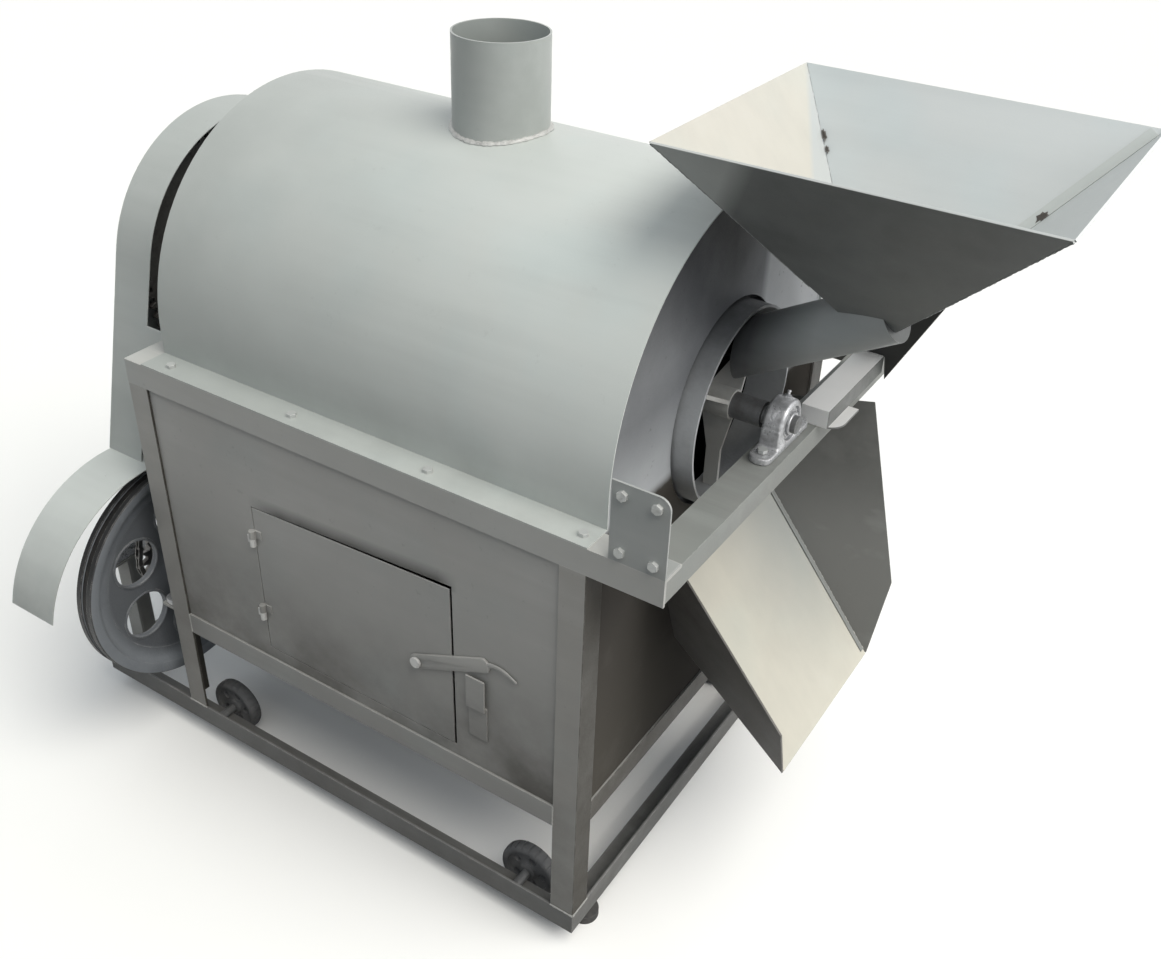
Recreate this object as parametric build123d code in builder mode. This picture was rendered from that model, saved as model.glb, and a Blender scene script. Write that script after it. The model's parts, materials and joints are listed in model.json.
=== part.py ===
import os
from math import cos, hypot, pi, radians, sin, tan

from build123d import *

os.makedirs("parts", exist_ok=True)

# Sizes in millimetres: frame of angle iron
frame_length = 818.0
frame_width = 710.0
frame_height = 727.0
base_extension = 220.0
rail_overhang = 107.0
angle_leg = 40.0
angle_wall = 4.0
mid_rail_height = 215.0
beam_width = 50.0
beam_depth = 36.0
sheet = 2.0
weld_gap = 0.5

# Wheels and feet
wheel_radius = 50.0
wheel_width = 22.0
wheel_recess = 5.0
wheel_hub = 15.0
wheel_hole = 7.0
wheel_hole_circle = 26.0
tyre_depth = 12.0
axle_height = 12.0
axle_radius = 6.0
wheel_room = 6.0
mouth_wheel_x = 116.0
drive_wheel_x = 54.0
foot_radius = 23.0
foot_inset = 68.0
foot_pad = 14.0

# Drum
drum_room = 48.0
drum_wall = 3.0
drum_end_wall = 4.0
drum_front = 31.0
drum_back = 63.0
collar_radius = 144.5
collar_wall = 4.0
collar_reach = 25.0
shaft_radius = 18.5
journal_radius = 12.5
running_gap = 0.05
shoulder_gap = 8.0
hub_length = 40.0
spider_depth = 37.0
spider_thickness = 6.0
spider_root = 48.0
spider_tip = 22.0
spider_waist = 78.0
spider_hub_wall = 3.0
flight_rows = 4
flight_columns = 3
flight_advance = 35.0
flight_height = 55.0
flight_length = 150.0
flight_slant = 28.0
flight_trim = 12.0

# Pillow blocks and bolts
block_height = 36.5
block_width = 34.0
block_length = 140.0
block_foot = 12.0
barrel_rise = 2.0
block_insert = 22.0
block_bolt_spacing = 105.0
bolt_radius = 4.0
bolt_gap = 0.3

# Hood, chimney and mouth-end plate
hood_flange = 45.0
hood_gap = 37.0
hood_bolt_inset = 18.0
hood_bolt_end = 43.0
hood_bolt_count = 4
plate_gap = 6.0
chimney_radius = 67.5
chimney_height = 126.0
chimney_bead = 3.0
chimney_bead_rise = 6.0
chimney_x = 382.0

# Corner plates
corner_plate_length = 78.0
corner_plate_height = 112.0
corner_plate_wall = 3.0
corner_plate_round = 16.0
corner_bolt_inset = 16.0

# Firebox
grate_margin = 130.0
grate_bars = 9
grate_bar = 12.0
grate_rise = 34.0

# Hopper, feed pipe and their supports
hopper_reach = 422.0
hopper_back = 32.0
hopper_width = 410.0
hopper_rise = 448.0
hopper_wall = 3.0
outlet_seat = -2.3
outlet_x = 186.0
outlet_size = 62.5
outlet_width = 36.0
pipe_radius = 38.0
pipe_wall = 2.5
pipe_slope = 29.0
pipe_room = 3.0
pipe_end = 14.0
pipe_head = 209.5
bracket_inset = 27.0
bracket_width = 42.0
bracket_height = 28.0
bracket_wall = 3.0
bracket_start = 72.5
bracket_length = 205.0
bracket_foot = 17.0
bracket_foot_length = 75.0
bracket_round = 26.0
support_lean = 22.4
support_spread = 25.2
support_over = 25.0
support_drop = 63.0
support_gap = 0.6

# Discharge chute
chute_slope = 51.0
chute_half_width = 154.0
chute_reach = 218.0
chute_drop = 422.0
chute_wall = 3.0
chute_side_height = 75.0
chute_splay = 46.0
chute_lip_height = 114.0
chute_lip_lean = 5.0
chute_near_drop = 27.0
chute_keel = 115.0
chute_beam_gap = 5.0
chute_far_step = 20.0

# Fire door
door_left = 590.0
door_right = 213.0
door_bottom = 275.0
door_top_left = 549.0
door_top_right = 570.0
door_sag = 2.5
door_gap = 4.0
door_edge_gap = 1.5
hinge_radius = 5.0
hinge_pin_radius = 2.5
hinge_heights = (336.0, 479.0)
hinge_barrel = 14.0
hinge_gap = 0.5
latch_x = 278.0
latch_height = 407.0
latch_lift = 24.0
latch_depth = 24.0
latch_thickness = 4.0
latch_gap = 1.0
latch_bolt_radius = 5.0
latch_bolt_head = 4.0
keeper_x = 171.0
keeper_width = 32.0
keeper_wall = 3.0
keeper_drop = 20.0
keeper_foot = 60.0

# Drive: countershaft, large pulley, belt, chain and motor
counter_y = 78.0
counter_height = 276.0
stand_wall = 5.0
post_x = 20.0
post_width = 50.0
pulley_radius = 205.0
pulley_width = 35.0
pulley_x = 40.0
pulley_web = 10.0
pulley_rim = 9.0
pulley_holes = 6
pulley_hole_radius = 42.0
pulley_hole_circle = 109.0
groove_room = 4.0
groove_depth = 13.0
belt_width = 10.0
belt_depth = 10.0
belt_gap = 0.6
motor_y = 150.0
motor_height = 100.0
motor_radius = 78.0
motor_length = 230.0
motor_nose = 8.0
motor_fins = 10
fin_height = 8.0
fan_cover = 40.0
motor_shaft_radius = 12.0
motor_pulley_radius = 45.0
motor_bearer = 140.0
chain_pitch = 19.05
chain_depth = 9.0
drum_teeth = 70
counter_teeth = 14
tooth_rise = 5.0
tooth_depth = 11.0
sprocket_x = 103.0
sprocket_thickness = 8.0
sprocket_hub = 16.0
sprocket_hole = 35.0
sprocket_hole_circle = 130.0

# Chain cover and pulley fender
cover_room = 12.1
cover_rear = 139.0
cover_front = 62.0
cover_near = 11.0
cover_far = 360.0
cover_drop = 100.0
guard_room = 24.0
guard_y = 30.0
guard_height = 270.0
guard_end_angle = 14.0
guard_rear = 137.0
guard_front = 38.0
guard_flat = 24.0

# Sizes that follow from the ones above
hood_radius = frame_width / 2 - hood_flange
hood_length = frame_length - hood_gap
hood_bolt_pitch = (hood_length - hood_bolt_inset - hood_bolt_end) / (hood_bolt_count - 1)
drum_radius = hood_radius - drum_room
collar_inside = collar_radius - collar_wall
block_barrel = block_height - barrel_rise
wheel_inset = angle_leg + wheel_room
guard_radius = pulley_radius + guard_room
pipe_tan = tan(radians(pipe_slope))
pipe_top = pipe_radius / cos(radians(pipe_slope))
pipe_rise = collar_inside - pipe_room - collar_reach * pipe_tan - pipe_top
outlet_rise = block_height + pipe_rise + outlet_x * pipe_tan + outlet_seat

# Datum planes: origin on the floor below the middle of the whole machine
guard_outer = guard_radius + sheet
guard_reach = guard_outer * cos(radians(guard_end_angle)) - guard_y
hopper_height = hopper_rise - outlet_rise
hopper_run = hopper_reach - outlet_x - outlet_size / 2
rim_overhang = hopper_wall * hopper_height / hypot(hopper_height, hopper_run)
bolt_head = 1.3 * bolt_radius
x_mouth = (frame_length + base_extension - hopper_reach - rim_overhang) / 2
x_drive = x_mouth - frame_length
x_base = x_drive - base_extension
x_beam = x_mouth + rail_overhang
y_near = (guard_reach - frame_width - bolt_head) / 2
y_far = y_near + frame_width
y_axis = y_near + frame_width / 2
z_frame = wheel_radius - axle_height
z_base = z_frame + angle_leg
z_mid = z_frame + mid_rail_height
z_top = z_frame + frame_height
z_axis = z_top + block_height
y_counter = y_near + counter_y
z_counter = z_frame + counter_height
z_guard = z_frame + guard_height
y_motor = y_far - motor_y
z_motor = z_frame + motor_height


def block(x0, x1, y0, y1, z0, z1, mode=Mode.ADD):
    with Locations(((x0 + x1) / 2, (y0 + y1) / 2, (z0 + z1) / 2)):
        Box(abs(x1 - x0), abs(y1 - y0), abs(z1 - z0), mode=mode)


def rod(origin, direction, radius, length, mode=Mode.ADD):
    with Locations(Plane(origin=origin, z_dir=direction)):
        Cylinder(radius, length, align=(Align.CENTER, Align.CENTER, Align.MIN), mode=mode)


def bolt(origin, out, grip):
    head = Vector(*origin)
    way = Vector(*out)
    tail = head - way * (grip + 2 * bolt_radius)
    for spot in (head, tail):
        with BuildSketch(Plane(origin=spot, z_dir=out)) as hexagon:
            RegularPolygon(1.8 * bolt_radius, 6)
        extrude(hexagon.sketch, amount=bolt_head)
    rod(tail, out, bolt_radius, grip + 2 * bolt_radius)


def sheet_plate(points, thickness, toward):
    a = Vector(*points[0])
    b = Vector(*points[1])
    c = Vector(*points[2])
    normal = (b - a).cross(c - a).normalized()
    if normal.dot(Vector(*toward)) < 0:
        normal = normal * -1
    plane = Plane(origin=a, x_dir=b - a, z_dir=normal)
    flat = [plane.to_local_coords(Vector(*p)) for p in points]
    with BuildSketch(plane) as outline:
        with BuildLine():
            Polyline([(p.X, p.Y) for p in flat], close=True)
        make_face()
    extrude(outline.sketch, amount=thickness)


# Frame pieces
with BuildPart() as legs:
    for x_face, x_in in ((x_mouth, -1), (x_drive, 1)):
        for y_face, y_in in ((y_near, 1), (y_far, -1)):
            y_wall = y_face + y_in * angle_wall
            block(x_face, x_face + x_in * angle_leg, y_face, y_wall, z_base, z_top - angle_leg)
            block(x_face, x_face + x_in * angle_wall, y_wall, y_face + y_in * angle_leg,
                  z_base, z_top - angle_wall)
legs.part.label = "legs"
export_step(legs.part, "parts/legs.step")

with BuildPart() as base_rails:
    for y_face, y_in in ((y_near, 1), (y_far, -1)):
        y_wall = y_face + y_in * angle_wall
        block(x_base, x_mouth, y_face, y_wall, z_frame, z_base)
        block(x_base, x_mouth, y_wall, y_face + y_in * angle_leg, z_frame, z_frame + angle_wall)
base_rails.part.label = "base_rails"
export_step(base_rails.part, "parts/base_rails.step")

with BuildPart() as base_end_rails:
    for x_face, x_in in ((x_mouth, -1), (x_base, 1)):
        block(x_face, x_face + x_in * angle_wall, y_near + angle_wall, y_far - angle_wall,
              z_frame + angle_wall, z_base)
        block(x_face, x_face + x_in * angle_leg, y_near + angle_leg, y_far - angle_leg,
              z_frame, z_frame + angle_wall)
base_end_rails.part.label = "base_end_rails"
export_step(base_end_rails.part, "parts/base_end_rails.step")

with BuildPart() as mid_rails:
    for y_face, y_in in ((y_near, 1), (y_far, -1)):
        y_wall = y_face + y_in * angle_wall
        block(x_drive + angle_leg, x_mouth - angle_leg, y_face, y_wall, z_mid, z_mid + angle_leg)
        block(x_drive + angle_leg, x_mouth - angle_leg, y_wall, y_face + y_in * angle_leg,
              z_mid, z_mid + angle_wall)
    for x_face, x_in in ((x_mouth, -1), (x_drive, 1)):
        x_wall = x_face + x_in * angle_wall
        y_start = y_near + angle_leg + weld_gap
        y_stop = y_far - angle_leg - weld_gap
        block(x_face, x_wall, y_start, y_stop, z_mid, z_mid + angle_leg)
        block(x_wall, x_face + x_in * angle_leg, y_start, y_stop, z_mid, z_mid + angle_wall)
mid_rails.part.label = "mid_rails"
export_step(mid_rails.part, "parts/mid_rails.step")

hood_bolt_xs = [x_mouth - hood_bolt_inset - k * hood_bolt_pitch for k in range(hood_bolt_count)]
hood_bolt_ys = (y_near + angle_leg / 2, y_far - angle_leg / 2)

with BuildPart() as top_rails:
    for y_face, y_in in ((y_near, 1), (y_far, -1)):
        y_wall = y_face + y_in * angle_wall
        block(x_drive, x_beam, y_face, y_wall, z_top - angle_leg, z_top)
        block(x_drive, x_beam, y_wall, y_face + y_in * angle_leg, z_top - angle_wall, z_top)
    for x in hood_bolt_xs:
        for y in hood_bolt_ys:
            rod((x, y, z_top - angle_wall), (0, 0, 1), bolt_radius + bolt_gap, angle_wall,
                mode=Mode.SUBTRACT)
top_rails.part.label = "top_rails"
export_step(top_rails.part, "parts/top_rails.step")

x_mouth_block = x_beam - beam_width / 2
x_drive_block = x_drive + block_width / 2 + 1
block_bolt_ys = (y_axis - block_bolt_spacing / 2, y_axis + block_bolt_spacing / 2)

with BuildPart() as mouth_crossbeam:
    block(x_beam - angle_wall, x_beam, y_near + angle_wall, y_far - angle_wall,
          z_top - beam_depth, z_top - angle_wall)
    block(x_beam - beam_width, x_beam, y_near + angle_leg, y_far - angle_leg, z_top - angle_wall, z_top)
    for y in block_bolt_ys:
        rod((x_mouth_block, y, z_top - angle_wall), (0, 0, 1), bolt_radius + bolt_gap, angle_wall,
            mode=Mode.SUBTRACT)
mouth_crossbeam.part.label = "mouth_crossbeam"
export_step(mouth_crossbeam.part, "parts/mouth_crossbeam.step")

with BuildPart() as drive_crossbeam:
    block(x_drive, x_drive + angle_wall, y_near + angle_leg, y_far - angle_leg,
          z_top - angle_leg, z_top - angle_wall)
    block(x_drive, x_drive + angle_leg, y_near + angle_leg, y_far - angle_leg, z_top - angle_wall, z_top)
    for y in block_bolt_ys:
        rod((x_drive_block, y, z_top - angle_wall), (0, 0, 1), bolt_radius + bolt_gap, angle_wall,
            mode=Mode.SUBTRACT)
drive_crossbeam.part.label = "drive_crossbeam"
export_step(drive_crossbeam.part, "parts/drive_crossbeam.step")

# Firebox sheets
y_face = y_near + angle_wall
z_sheet_low = z_mid + angle_wall
z_sheet_top = z_top - angle_wall
x_door_left = x_mouth - door_left
x_door_right = x_mouth - door_right

with BuildPart() as near_panel:
    block(x_drive + angle_wall, x_mouth - angle_wall, y_face, y_face + sheet, z_sheet_low, z_sheet_top)
    with BuildSketch(Plane.XZ.offset(-y_face)):
        with BuildLine():
            Polyline((x_door_left, z_frame + door_bottom), (x_door_right, z_frame + door_bottom),
                     (x_door_right, z_frame + door_top_right), (x_door_left, z_frame + door_top_left),
                     close=True)
        make_face()
    extrude(amount=-sheet, mode=Mode.SUBTRACT)
near_panel.part.label = "near_panel"
export_step(near_panel.part, "parts/near_panel.step")

with BuildPart() as far_panel:
    block(x_drive + angle_wall, x_mouth - angle_wall, y_far - angle_wall - sheet, y_far - angle_wall,
          z_sheet_low, z_sheet_top)
far_panel.part.label = "far_panel"
export_step(far_panel.part, "parts/far_panel.step")

with BuildPart() as drive_panel:
    block(x_drive + angle_wall, x_drive + angle_wall + sheet, y_face + sheet, y_far - angle_wall - sheet,
          z_sheet_low, z_sheet_top)
drive_panel.part.label = "drive_panel"
export_step(drive_panel.part, "parts/drive_panel.step")

arch_radius = hood_radius - sheet

with BuildPart() as mouth_end_plate:
    with BuildSketch(Plane.YZ.offset(x_mouth - angle_wall)):
        with Locations((y_axis, (z_sheet_low + z_sheet_top) / 2)):
            Rectangle(frame_width - 2 * (angle_wall + sheet), z_sheet_top - z_sheet_low)
        with Locations((y_axis, (z_sheet_top + z_axis) / 2)):
            Rectangle(2 * arch_radius, z_axis - z_sheet_top)
        with Locations((y_axis, z_axis)):
            Circle(arch_radius)
            Circle(collar_radius + plate_gap, mode=Mode.SUBTRACT)
    extrude(amount=-sheet)
mouth_end_plate.part.label = "mouth_end_plate"
export_step(mouth_end_plate.part, "parts/mouth_end_plate.step")

with BuildPart() as firebox_floor:
    block(x_drive + angle_wall + sheet, x_mouth - angle_wall - sheet, y_face + sheet,
          y_far - angle_wall - sheet, z_sheet_low, z_sheet_low + sheet)
firebox_floor.part.label = "firebox_floor"
export_step(firebox_floor.part, "parts/firebox_floor.step")

z_grate = z_sheet_low + sheet
grate_x0 = x_drive + grate_margin
grate_x1 = x_mouth - grate_margin
grate_y0 = y_near + grate_margin
grate_y1 = y_far - grate_margin

with BuildPart() as fire_grate:
    for k in range(grate_bars):
        y = grate_y0 + (grate_y1 - grate_y0) * k / (grate_bars - 1)
        block(grate_x0, grate_x1, y - grate_bar / 2, y + grate_bar / 2,
              z_grate + grate_rise, z_grate + grate_rise + grate_bar)
    for x in (grate_x0 + grate_bar, grate_x1 - grate_bar):
        block(x - grate_bar, x + grate_bar, grate_y0, grate_y1,
              z_grate + grate_rise - grate_bar, z_grate + grate_rise)
        for y in (grate_y0, grate_y1):
            block(x - grate_bar, x + grate_bar, y - grate_bar / 2, y + grate_bar / 2,
                  z_grate, z_grate + grate_rise)
fire_grate.part.label = "fire_grate"
export_step(fire_grate.part, "parts/fire_grate.step")

# Hood and chimney
x_hood = x_mouth - hood_length
x_chimney = x_mouth - chimney_x
z_crown = z_axis + hood_radius

with BuildPart() as hood:
    with BuildSketch(Plane.YZ.offset(x_hood)):
        with Locations((y_axis, z_axis)):
            Circle(hood_radius)
            Circle(arch_radius, mode=Mode.SUBTRACT)
        with Locations((y_axis, z_axis - hood_radius / 2)):
            Rectangle(2 * hood_radius, hood_radius, mode=Mode.SUBTRACT)
        for side in (-1, 1):
            with Locations((y_axis + side * (hood_radius - sheet / 2), (z_top + z_axis) / 2)):
                Rectangle(sheet, z_axis - z_top)
            flange = frame_width / 2 - arch_radius
            with Locations((y_axis + side * (arch_radius + flange / 2), z_top + sheet / 2)):
                Rectangle(flange, sheet)
    extrude(amount=hood_length)
    rod((x_chimney, y_axis, z_axis), (0, 0, 1), chimney_radius - sheet, 2 * hood_radius, mode=Mode.SUBTRACT)
    for x in hood_bolt_xs:
        for y in hood_bolt_ys:
            rod((x, y, z_top), (0, 0, 1), bolt_radius + bolt_gap, sheet, mode=Mode.SUBTRACT)
hood.part.label = "hood"
export_step(hood.part, "parts/hood.step")

with BuildPart() as hood_rear_plate:
    with BuildSketch(Plane.YZ.offset(x_hood)):
        with Locations((y_axis, z_axis)):
            Circle(arch_radius)
        with Locations((y_axis, z_axis - hood_radius / 2)):
            Rectangle(2 * hood_radius, hood_radius, mode=Mode.SUBTRACT)
        with Locations((y_axis, (z_top + z_axis) / 2)):
            Rectangle(2 * arch_radius, z_axis - z_top)
        with Locations((y_axis, z_axis)):
            Circle(journal_radius + plate_gap, mode=Mode.SUBTRACT)
    extrude(amount=sheet)
hood_rear_plate.part.label = "hood_rear_plate"
export_step(hood_rear_plate.part, "parts/hood_rear_plate.step")

with BuildPart() as chimney:
    rod((x_chimney, y_axis, z_axis), (0, 0, 1), chimney_radius, hood_radius + chimney_height)
    rod((x_chimney, y_axis, z_axis), (0, 0, 1), chimney_radius + chimney_bead,
        hood_radius + chimney_bead_rise)
    rod((x_chimney, y_axis, z_axis), (0, 0, 1), chimney_radius - sheet, hood_radius + chimney_height,
        mode=Mode.SUBTRACT)
    rod((x_hood, y_axis, z_axis), (1, 0, 0), hood_radius, hood_length, mode=Mode.SUBTRACT)
chimney.part.label = "chimney"
export_step(chimney.part, "parts/chimney.step")

# Corner plates beside the drum mouth
x_corner = x_beam - corner_plate_length
corner_bolts = [(x_corner + corner_bolt_inset, z_top + corner_bolt_inset),
                (x_beam - corner_bolt_inset, z_top + corner_bolt_inset),
                (x_corner + corner_bolt_inset, z_top + corner_plate_height - corner_bolt_inset),
                (x_beam - corner_bolt_inset, z_top + corner_plate_height - corner_bolt_inset)]

with BuildPart() as corner_plates:
    for y_side, y_in in ((y_near, 1), (y_far, -1)):
        with BuildSketch(Plane.XZ.offset(-y_side)):
            with Locations((x_corner + corner_plate_length / 2, z_top + corner_plate_height / 2)):
                plate_shape = Rectangle(corner_plate_length, corner_plate_height)
            fillet(plate_shape.vertices().group_by(Axis.Y)[-1].sort_by(Axis.X)[-1], corner_plate_round)
            with Locations(*corner_bolts):
                Circle(bolt_radius + bolt_gap, mode=Mode.SUBTRACT)
        extrude(amount=-y_in * corner_plate_wall)
        block(x_corner, x_beam, y_side + y_in * corner_plate_wall, y_side + y_in * (angle_leg - angle_wall),
              z_top, z_top + corner_plate_wall)
corner_plates.part.label = "corner_plates"
export_step(corner_plates.part, "parts/corner_plates.step")

# Drum and its shaft
x_drum_back = x_drive + drum_back
x_drum_front = x_mouth - drum_front
drum_inside = drum_radius - drum_wall
drum_length = x_drum_front - x_drum_back

with BuildPart() as drum_shell:
    rod((x_drum_back, y_axis, z_axis), (1, 0, 0), drum_radius, drum_length)
    rod((x_drum_back, y_axis, z_axis), (1, 0, 0), drum_inside, drum_length, mode=Mode.SUBTRACT)
drum_shell.part.label = "drum_shell"
export_step(drum_shell.part, "parts/drum_shell.step")

collar_length = drum_front + drum_end_wall + collar_reach

with BuildPart() as drum_mouth_collar:
    rod((x_drum_front - drum_end_wall, y_axis, z_axis), (1, 0, 0), drum_inside, drum_end_wall)
    rod((x_drum_front - drum_end_wall, y_axis, z_axis), (1, 0, 0), collar_radius, collar_length)
    rod((x_drum_front - drum_end_wall, y_axis, z_axis), (1, 0, 0), collar_inside, collar_length,
        mode=Mode.SUBTRACT)
drum_mouth_collar.part.label = "drum_mouth_collar"
export_step(drum_mouth_collar.part, "parts/drum_mouth_collar.step")

with BuildPart() as drum_back_plate:
    rod((x_drum_back, y_axis, z_axis), (1, 0, 0), drum_inside, drum_end_wall)
    rod((x_drum_back, y_axis, z_axis), (1, 0, 0), 2 * shaft_radius, hub_length)
    rod((x_drum_back, y_axis, z_axis), (1, 0, 0), shaft_radius, hub_length, mode=Mode.SUBTRACT)
drum_back_plate.part.label = "drum_back_plate"
export_step(drum_back_plate.part, "parts/drum_back_plate.step")

flight_step = (drum_length - 2 * drum_end_wall - hub_length) / flight_rows

with BuildPart() as drum_flights:
    for row in range(flight_rows):
        for column in range(flight_columns):
            turn = radians(360 / flight_columns * column + flight_advance * row)
            slant = radians(flight_slant)
            middle = drum_inside - flight_height / 2 + flight_trim / 2
            foot = (x_drum_back + drum_end_wall + hub_length + flight_step * (row + 0.5),
                    y_axis + middle * cos(turn), z_axis + middle * sin(turn))
            along = (cos(slant), -sin(turn) * sin(slant), cos(turn) * sin(slant))
            with Locations(Plane(origin=foot, x_dir=along, z_dir=(0, cos(turn), sin(turn)))):
                Box(flight_length, drum_wall, flight_height + flight_trim)
    rod((x_drum_back, y_axis, z_axis), (1, 0, 0), drum_inside, drum_length, mode=Mode.INTERSECT)
drum_flights.part.label = "drum_flights"
export_step(drum_flights.part, "parts/drum_flights.step")

x_spider = x_mouth - spider_depth
spider_taper = (spider_root - spider_tip) / 2

with BuildPart() as drum_spider:
    rod((x_spider, y_axis, z_axis), (1, 0, 0), shaft_radius + spider_hub_wall, spider_root)
    for angle in (30, 150, 270):
        across = (0, -sin(radians(angle)), cos(radians(angle)))
        with BuildSketch(Plane(origin=(x_spider, y_axis, z_axis), x_dir=(1, 0, 0), z_dir=across)):
            with BuildLine():
                Polyline((0, 0), (spider_root, 0), (spider_root, shaft_radius),
                         (spider_root - spider_taper, spider_waist), (spider_root - spider_taper, collar_radius),
                         (spider_taper, collar_radius), (spider_taper, spider_waist), (0, shaft_radius), close=True)
            make_face()
        extrude(amount=spider_thickness / 2, both=True)
    rod((x_spider, y_axis, z_axis), (1, 0, 0), collar_inside, spider_root, mode=Mode.INTERSECT)
    rod((x_spider, y_axis, z_axis), (1, 0, 0), shaft_radius, spider_root, mode=Mode.SUBTRACT)
drum_spider.part.label = "drum_spider"
export_step(drum_spider.part, "parts/drum_spider.step")

x_shaft_shoulder = x_mouth_block - block_width / 2 - shoulder_gap
x_sprocket = x_drive - sprocket_x - sprocket_thickness
x_shaft_end = x_sprocket - sprocket_hub

with BuildPart() as drum_shaft:
    rod((x_drum_back - shoulder_gap, y_axis, z_axis), (1, 0, 0), shaft_radius,
        x_shaft_shoulder - x_drum_back + shoulder_gap)
    rod((x_shaft_end, y_axis, z_axis), (1, 0, 0), journal_radius, x_beam - x_shaft_end)
drum_shaft.part.label = "drum_shaft"
export_step(drum_shaft.part, "parts/drum_shaft.step")


# Pillow blocks
def pillow_block(x, y, z):
    block(x - block_width / 2, x + block_width / 2, y - block_length / 2, y + block_length / 2,
          z, z + block_foot)
    block(x - block_width / 2, x + block_width / 2, y - block_barrel, y + block_barrel,
          z, z + block_height)
    rod((x - block_width / 2, y, z + block_height), (1, 0, 0), block_barrel, block_width)
    rod((x - block_width / 2 - 1, y, z + block_height), (1, 0, 0), block_insert, block_width + 2)
    rod((x - block_width, y, z + block_height), (1, 0, 0), journal_radius + running_gap,
        2 * block_width, mode=Mode.SUBTRACT)
    for side in (-1, 1):
        rod((x, y + side * block_bolt_spacing / 2, z), (0, 0, 1), bolt_radius + bolt_gap, block_foot,
            mode=Mode.SUBTRACT)


with BuildPart() as mouth_bearing:
    pillow_block(x_mouth_block, y_axis, z_top)
mouth_bearing.part.label = "mouth_bearing"
export_step(mouth_bearing.part, "parts/mouth_bearing.step")

x_shelf_block = x_drive - block_width / 2 - 3
x_post_block = x_base + post_x
z_counter_seat = z_counter - block_height

with BuildPart() as drive_bearings:
    pillow_block(x_drive_block, y_axis, z_top)
    pillow_block(x_shelf_block, y_counter, z_counter_seat)
    pillow_block(x_post_block, y_counter, z_counter_seat)
drive_bearings.part.label = "drive_bearings"
export_step(drive_bearings.part, "parts/drive_bearings.step")

counter_bolt_ys = (y_counter - block_bolt_spacing / 2, y_counter + block_bolt_spacing / 2)

with BuildPart() as countershaft_stands:
    block(x_drive - stand_wall, x_drive, y_counter - block_length / 2, y_counter + block_length / 2,
          z_counter_seat - angle_leg, z_counter_seat)
    block(x_shelf_block - block_width / 2, x_drive - stand_wall, y_counter - block_length / 2,
          y_counter + block_length / 2, z_counter_seat - stand_wall, z_counter_seat)
    block(x_base + angle_wall, x_post_block + block_width / 2, y_counter - block_length / 2,
          y_counter + block_length / 2, z_counter_seat - stand_wall, z_counter_seat)
    block(x_base + angle_wall, x_base + angle_wall + stand_wall, y_counter - post_width / 2,
          y_counter + post_width / 2, z_frame + angle_wall, z_counter_seat - stand_wall)
    block(x_base + angle_wall, x_post_block + block_width / 2, y_counter - post_width / 2,
          y_counter - post_width / 2 + stand_wall, z_frame + angle_wall, z_counter_seat - stand_wall)
    for x in (x_shelf_block, x_post_block):
        for y in counter_bolt_ys:
            rod((x, y, z_counter_seat - stand_wall), (0, 0, 1), bolt_radius + bolt_gap, stand_wall,
                mode=Mode.SUBTRACT)
countershaft_stands.part.label = "countershaft_stands"
export_step(countershaft_stands.part, "parts/countershaft_stands.step")

# Bolts with nuts
with BuildPart() as bolts:
    for x in hood_bolt_xs:
        for y in hood_bolt_ys:
            bolt((x, y, z_top + sheet), (0, 0, 1), sheet + angle_wall)
    for y_side, y_out in ((y_near, -1), (y_far, 1)):
        for x, z in corner_bolts:
            bolt((x, y_side, z), (0, y_out, 0), corner_plate_wall)
    for x in (x_mouth_block, x_drive_block):
        for y in block_bolt_ys:
            bolt((x, y, z_top + block_foot), (0, 0, 1), block_foot + angle_wall)
    for x in (x_shelf_block, x_post_block):
        for y in counter_bolt_ys:
            bolt((x, y, z_counter_seat + block_foot), (0, 0, 1), block_foot + stand_wall)
bolts.part.label = "bolts"
export_step(bolts.part, "parts/bolts.step")

# Feed hopper, feed pipe and their supports
hopper_x0 = x_mouth - hopper_back
hopper_x1 = x_mouth + hopper_reach
z_rim = z_top + hopper_rise
z_outlet = z_top + outlet_rise
outlet_x0 = x_mouth + outlet_x - outlet_size / 2
outlet_x1 = x_mouth + outlet_x + outlet_size / 2
rim_y0 = y_axis - hopper_width / 2
rim_y1 = y_axis + hopper_width / 2
outlet_y0 = y_axis - outlet_width / 2
outlet_y1 = y_axis + outlet_width / 2
pipe_way = (cos(radians(pipe_slope)), 0, sin(radians(pipe_slope)))
pipe_start = (x_mouth - pipe_radius, y_axis, z_axis + pipe_rise - pipe_radius * pipe_tan)
pipe_length = (pipe_head + pipe_radius) / cos(radians(pipe_slope))

with BuildPart() as hopper_near_wall:
    sheet_plate([(hopper_x0, rim_y0, z_rim), (hopper_x1, rim_y0, z_rim),
                 (outlet_x1, outlet_y0, z_outlet), (outlet_x0, outlet_y0, z_outlet)],
                hopper_wall, (0, -1, 0))
    rod(pipe_start, pipe_way, pipe_radius, pipe_length, mode=Mode.SUBTRACT)
hopper_near_wall.part.label = "hopper_near_wall"
export_step(hopper_near_wall.part, "parts/hopper_near_wall.step")

with BuildPart() as hopper_far_wall:
    sheet_plate([(hopper_x0, rim_y1, z_rim), (hopper_x1, rim_y1, z_rim),
                 (outlet_x1, outlet_y1, z_outlet), (outlet_x0, outlet_y1, z_outlet)],
                hopper_wall, (0, 1, 0))
    rod(pipe_start, pipe_way, pipe_radius, pipe_length, mode=Mode.SUBTRACT)
hopper_far_wall.part.label = "hopper_far_wall"
export_step(hopper_far_wall.part, "parts/hopper_far_wall.step")

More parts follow.
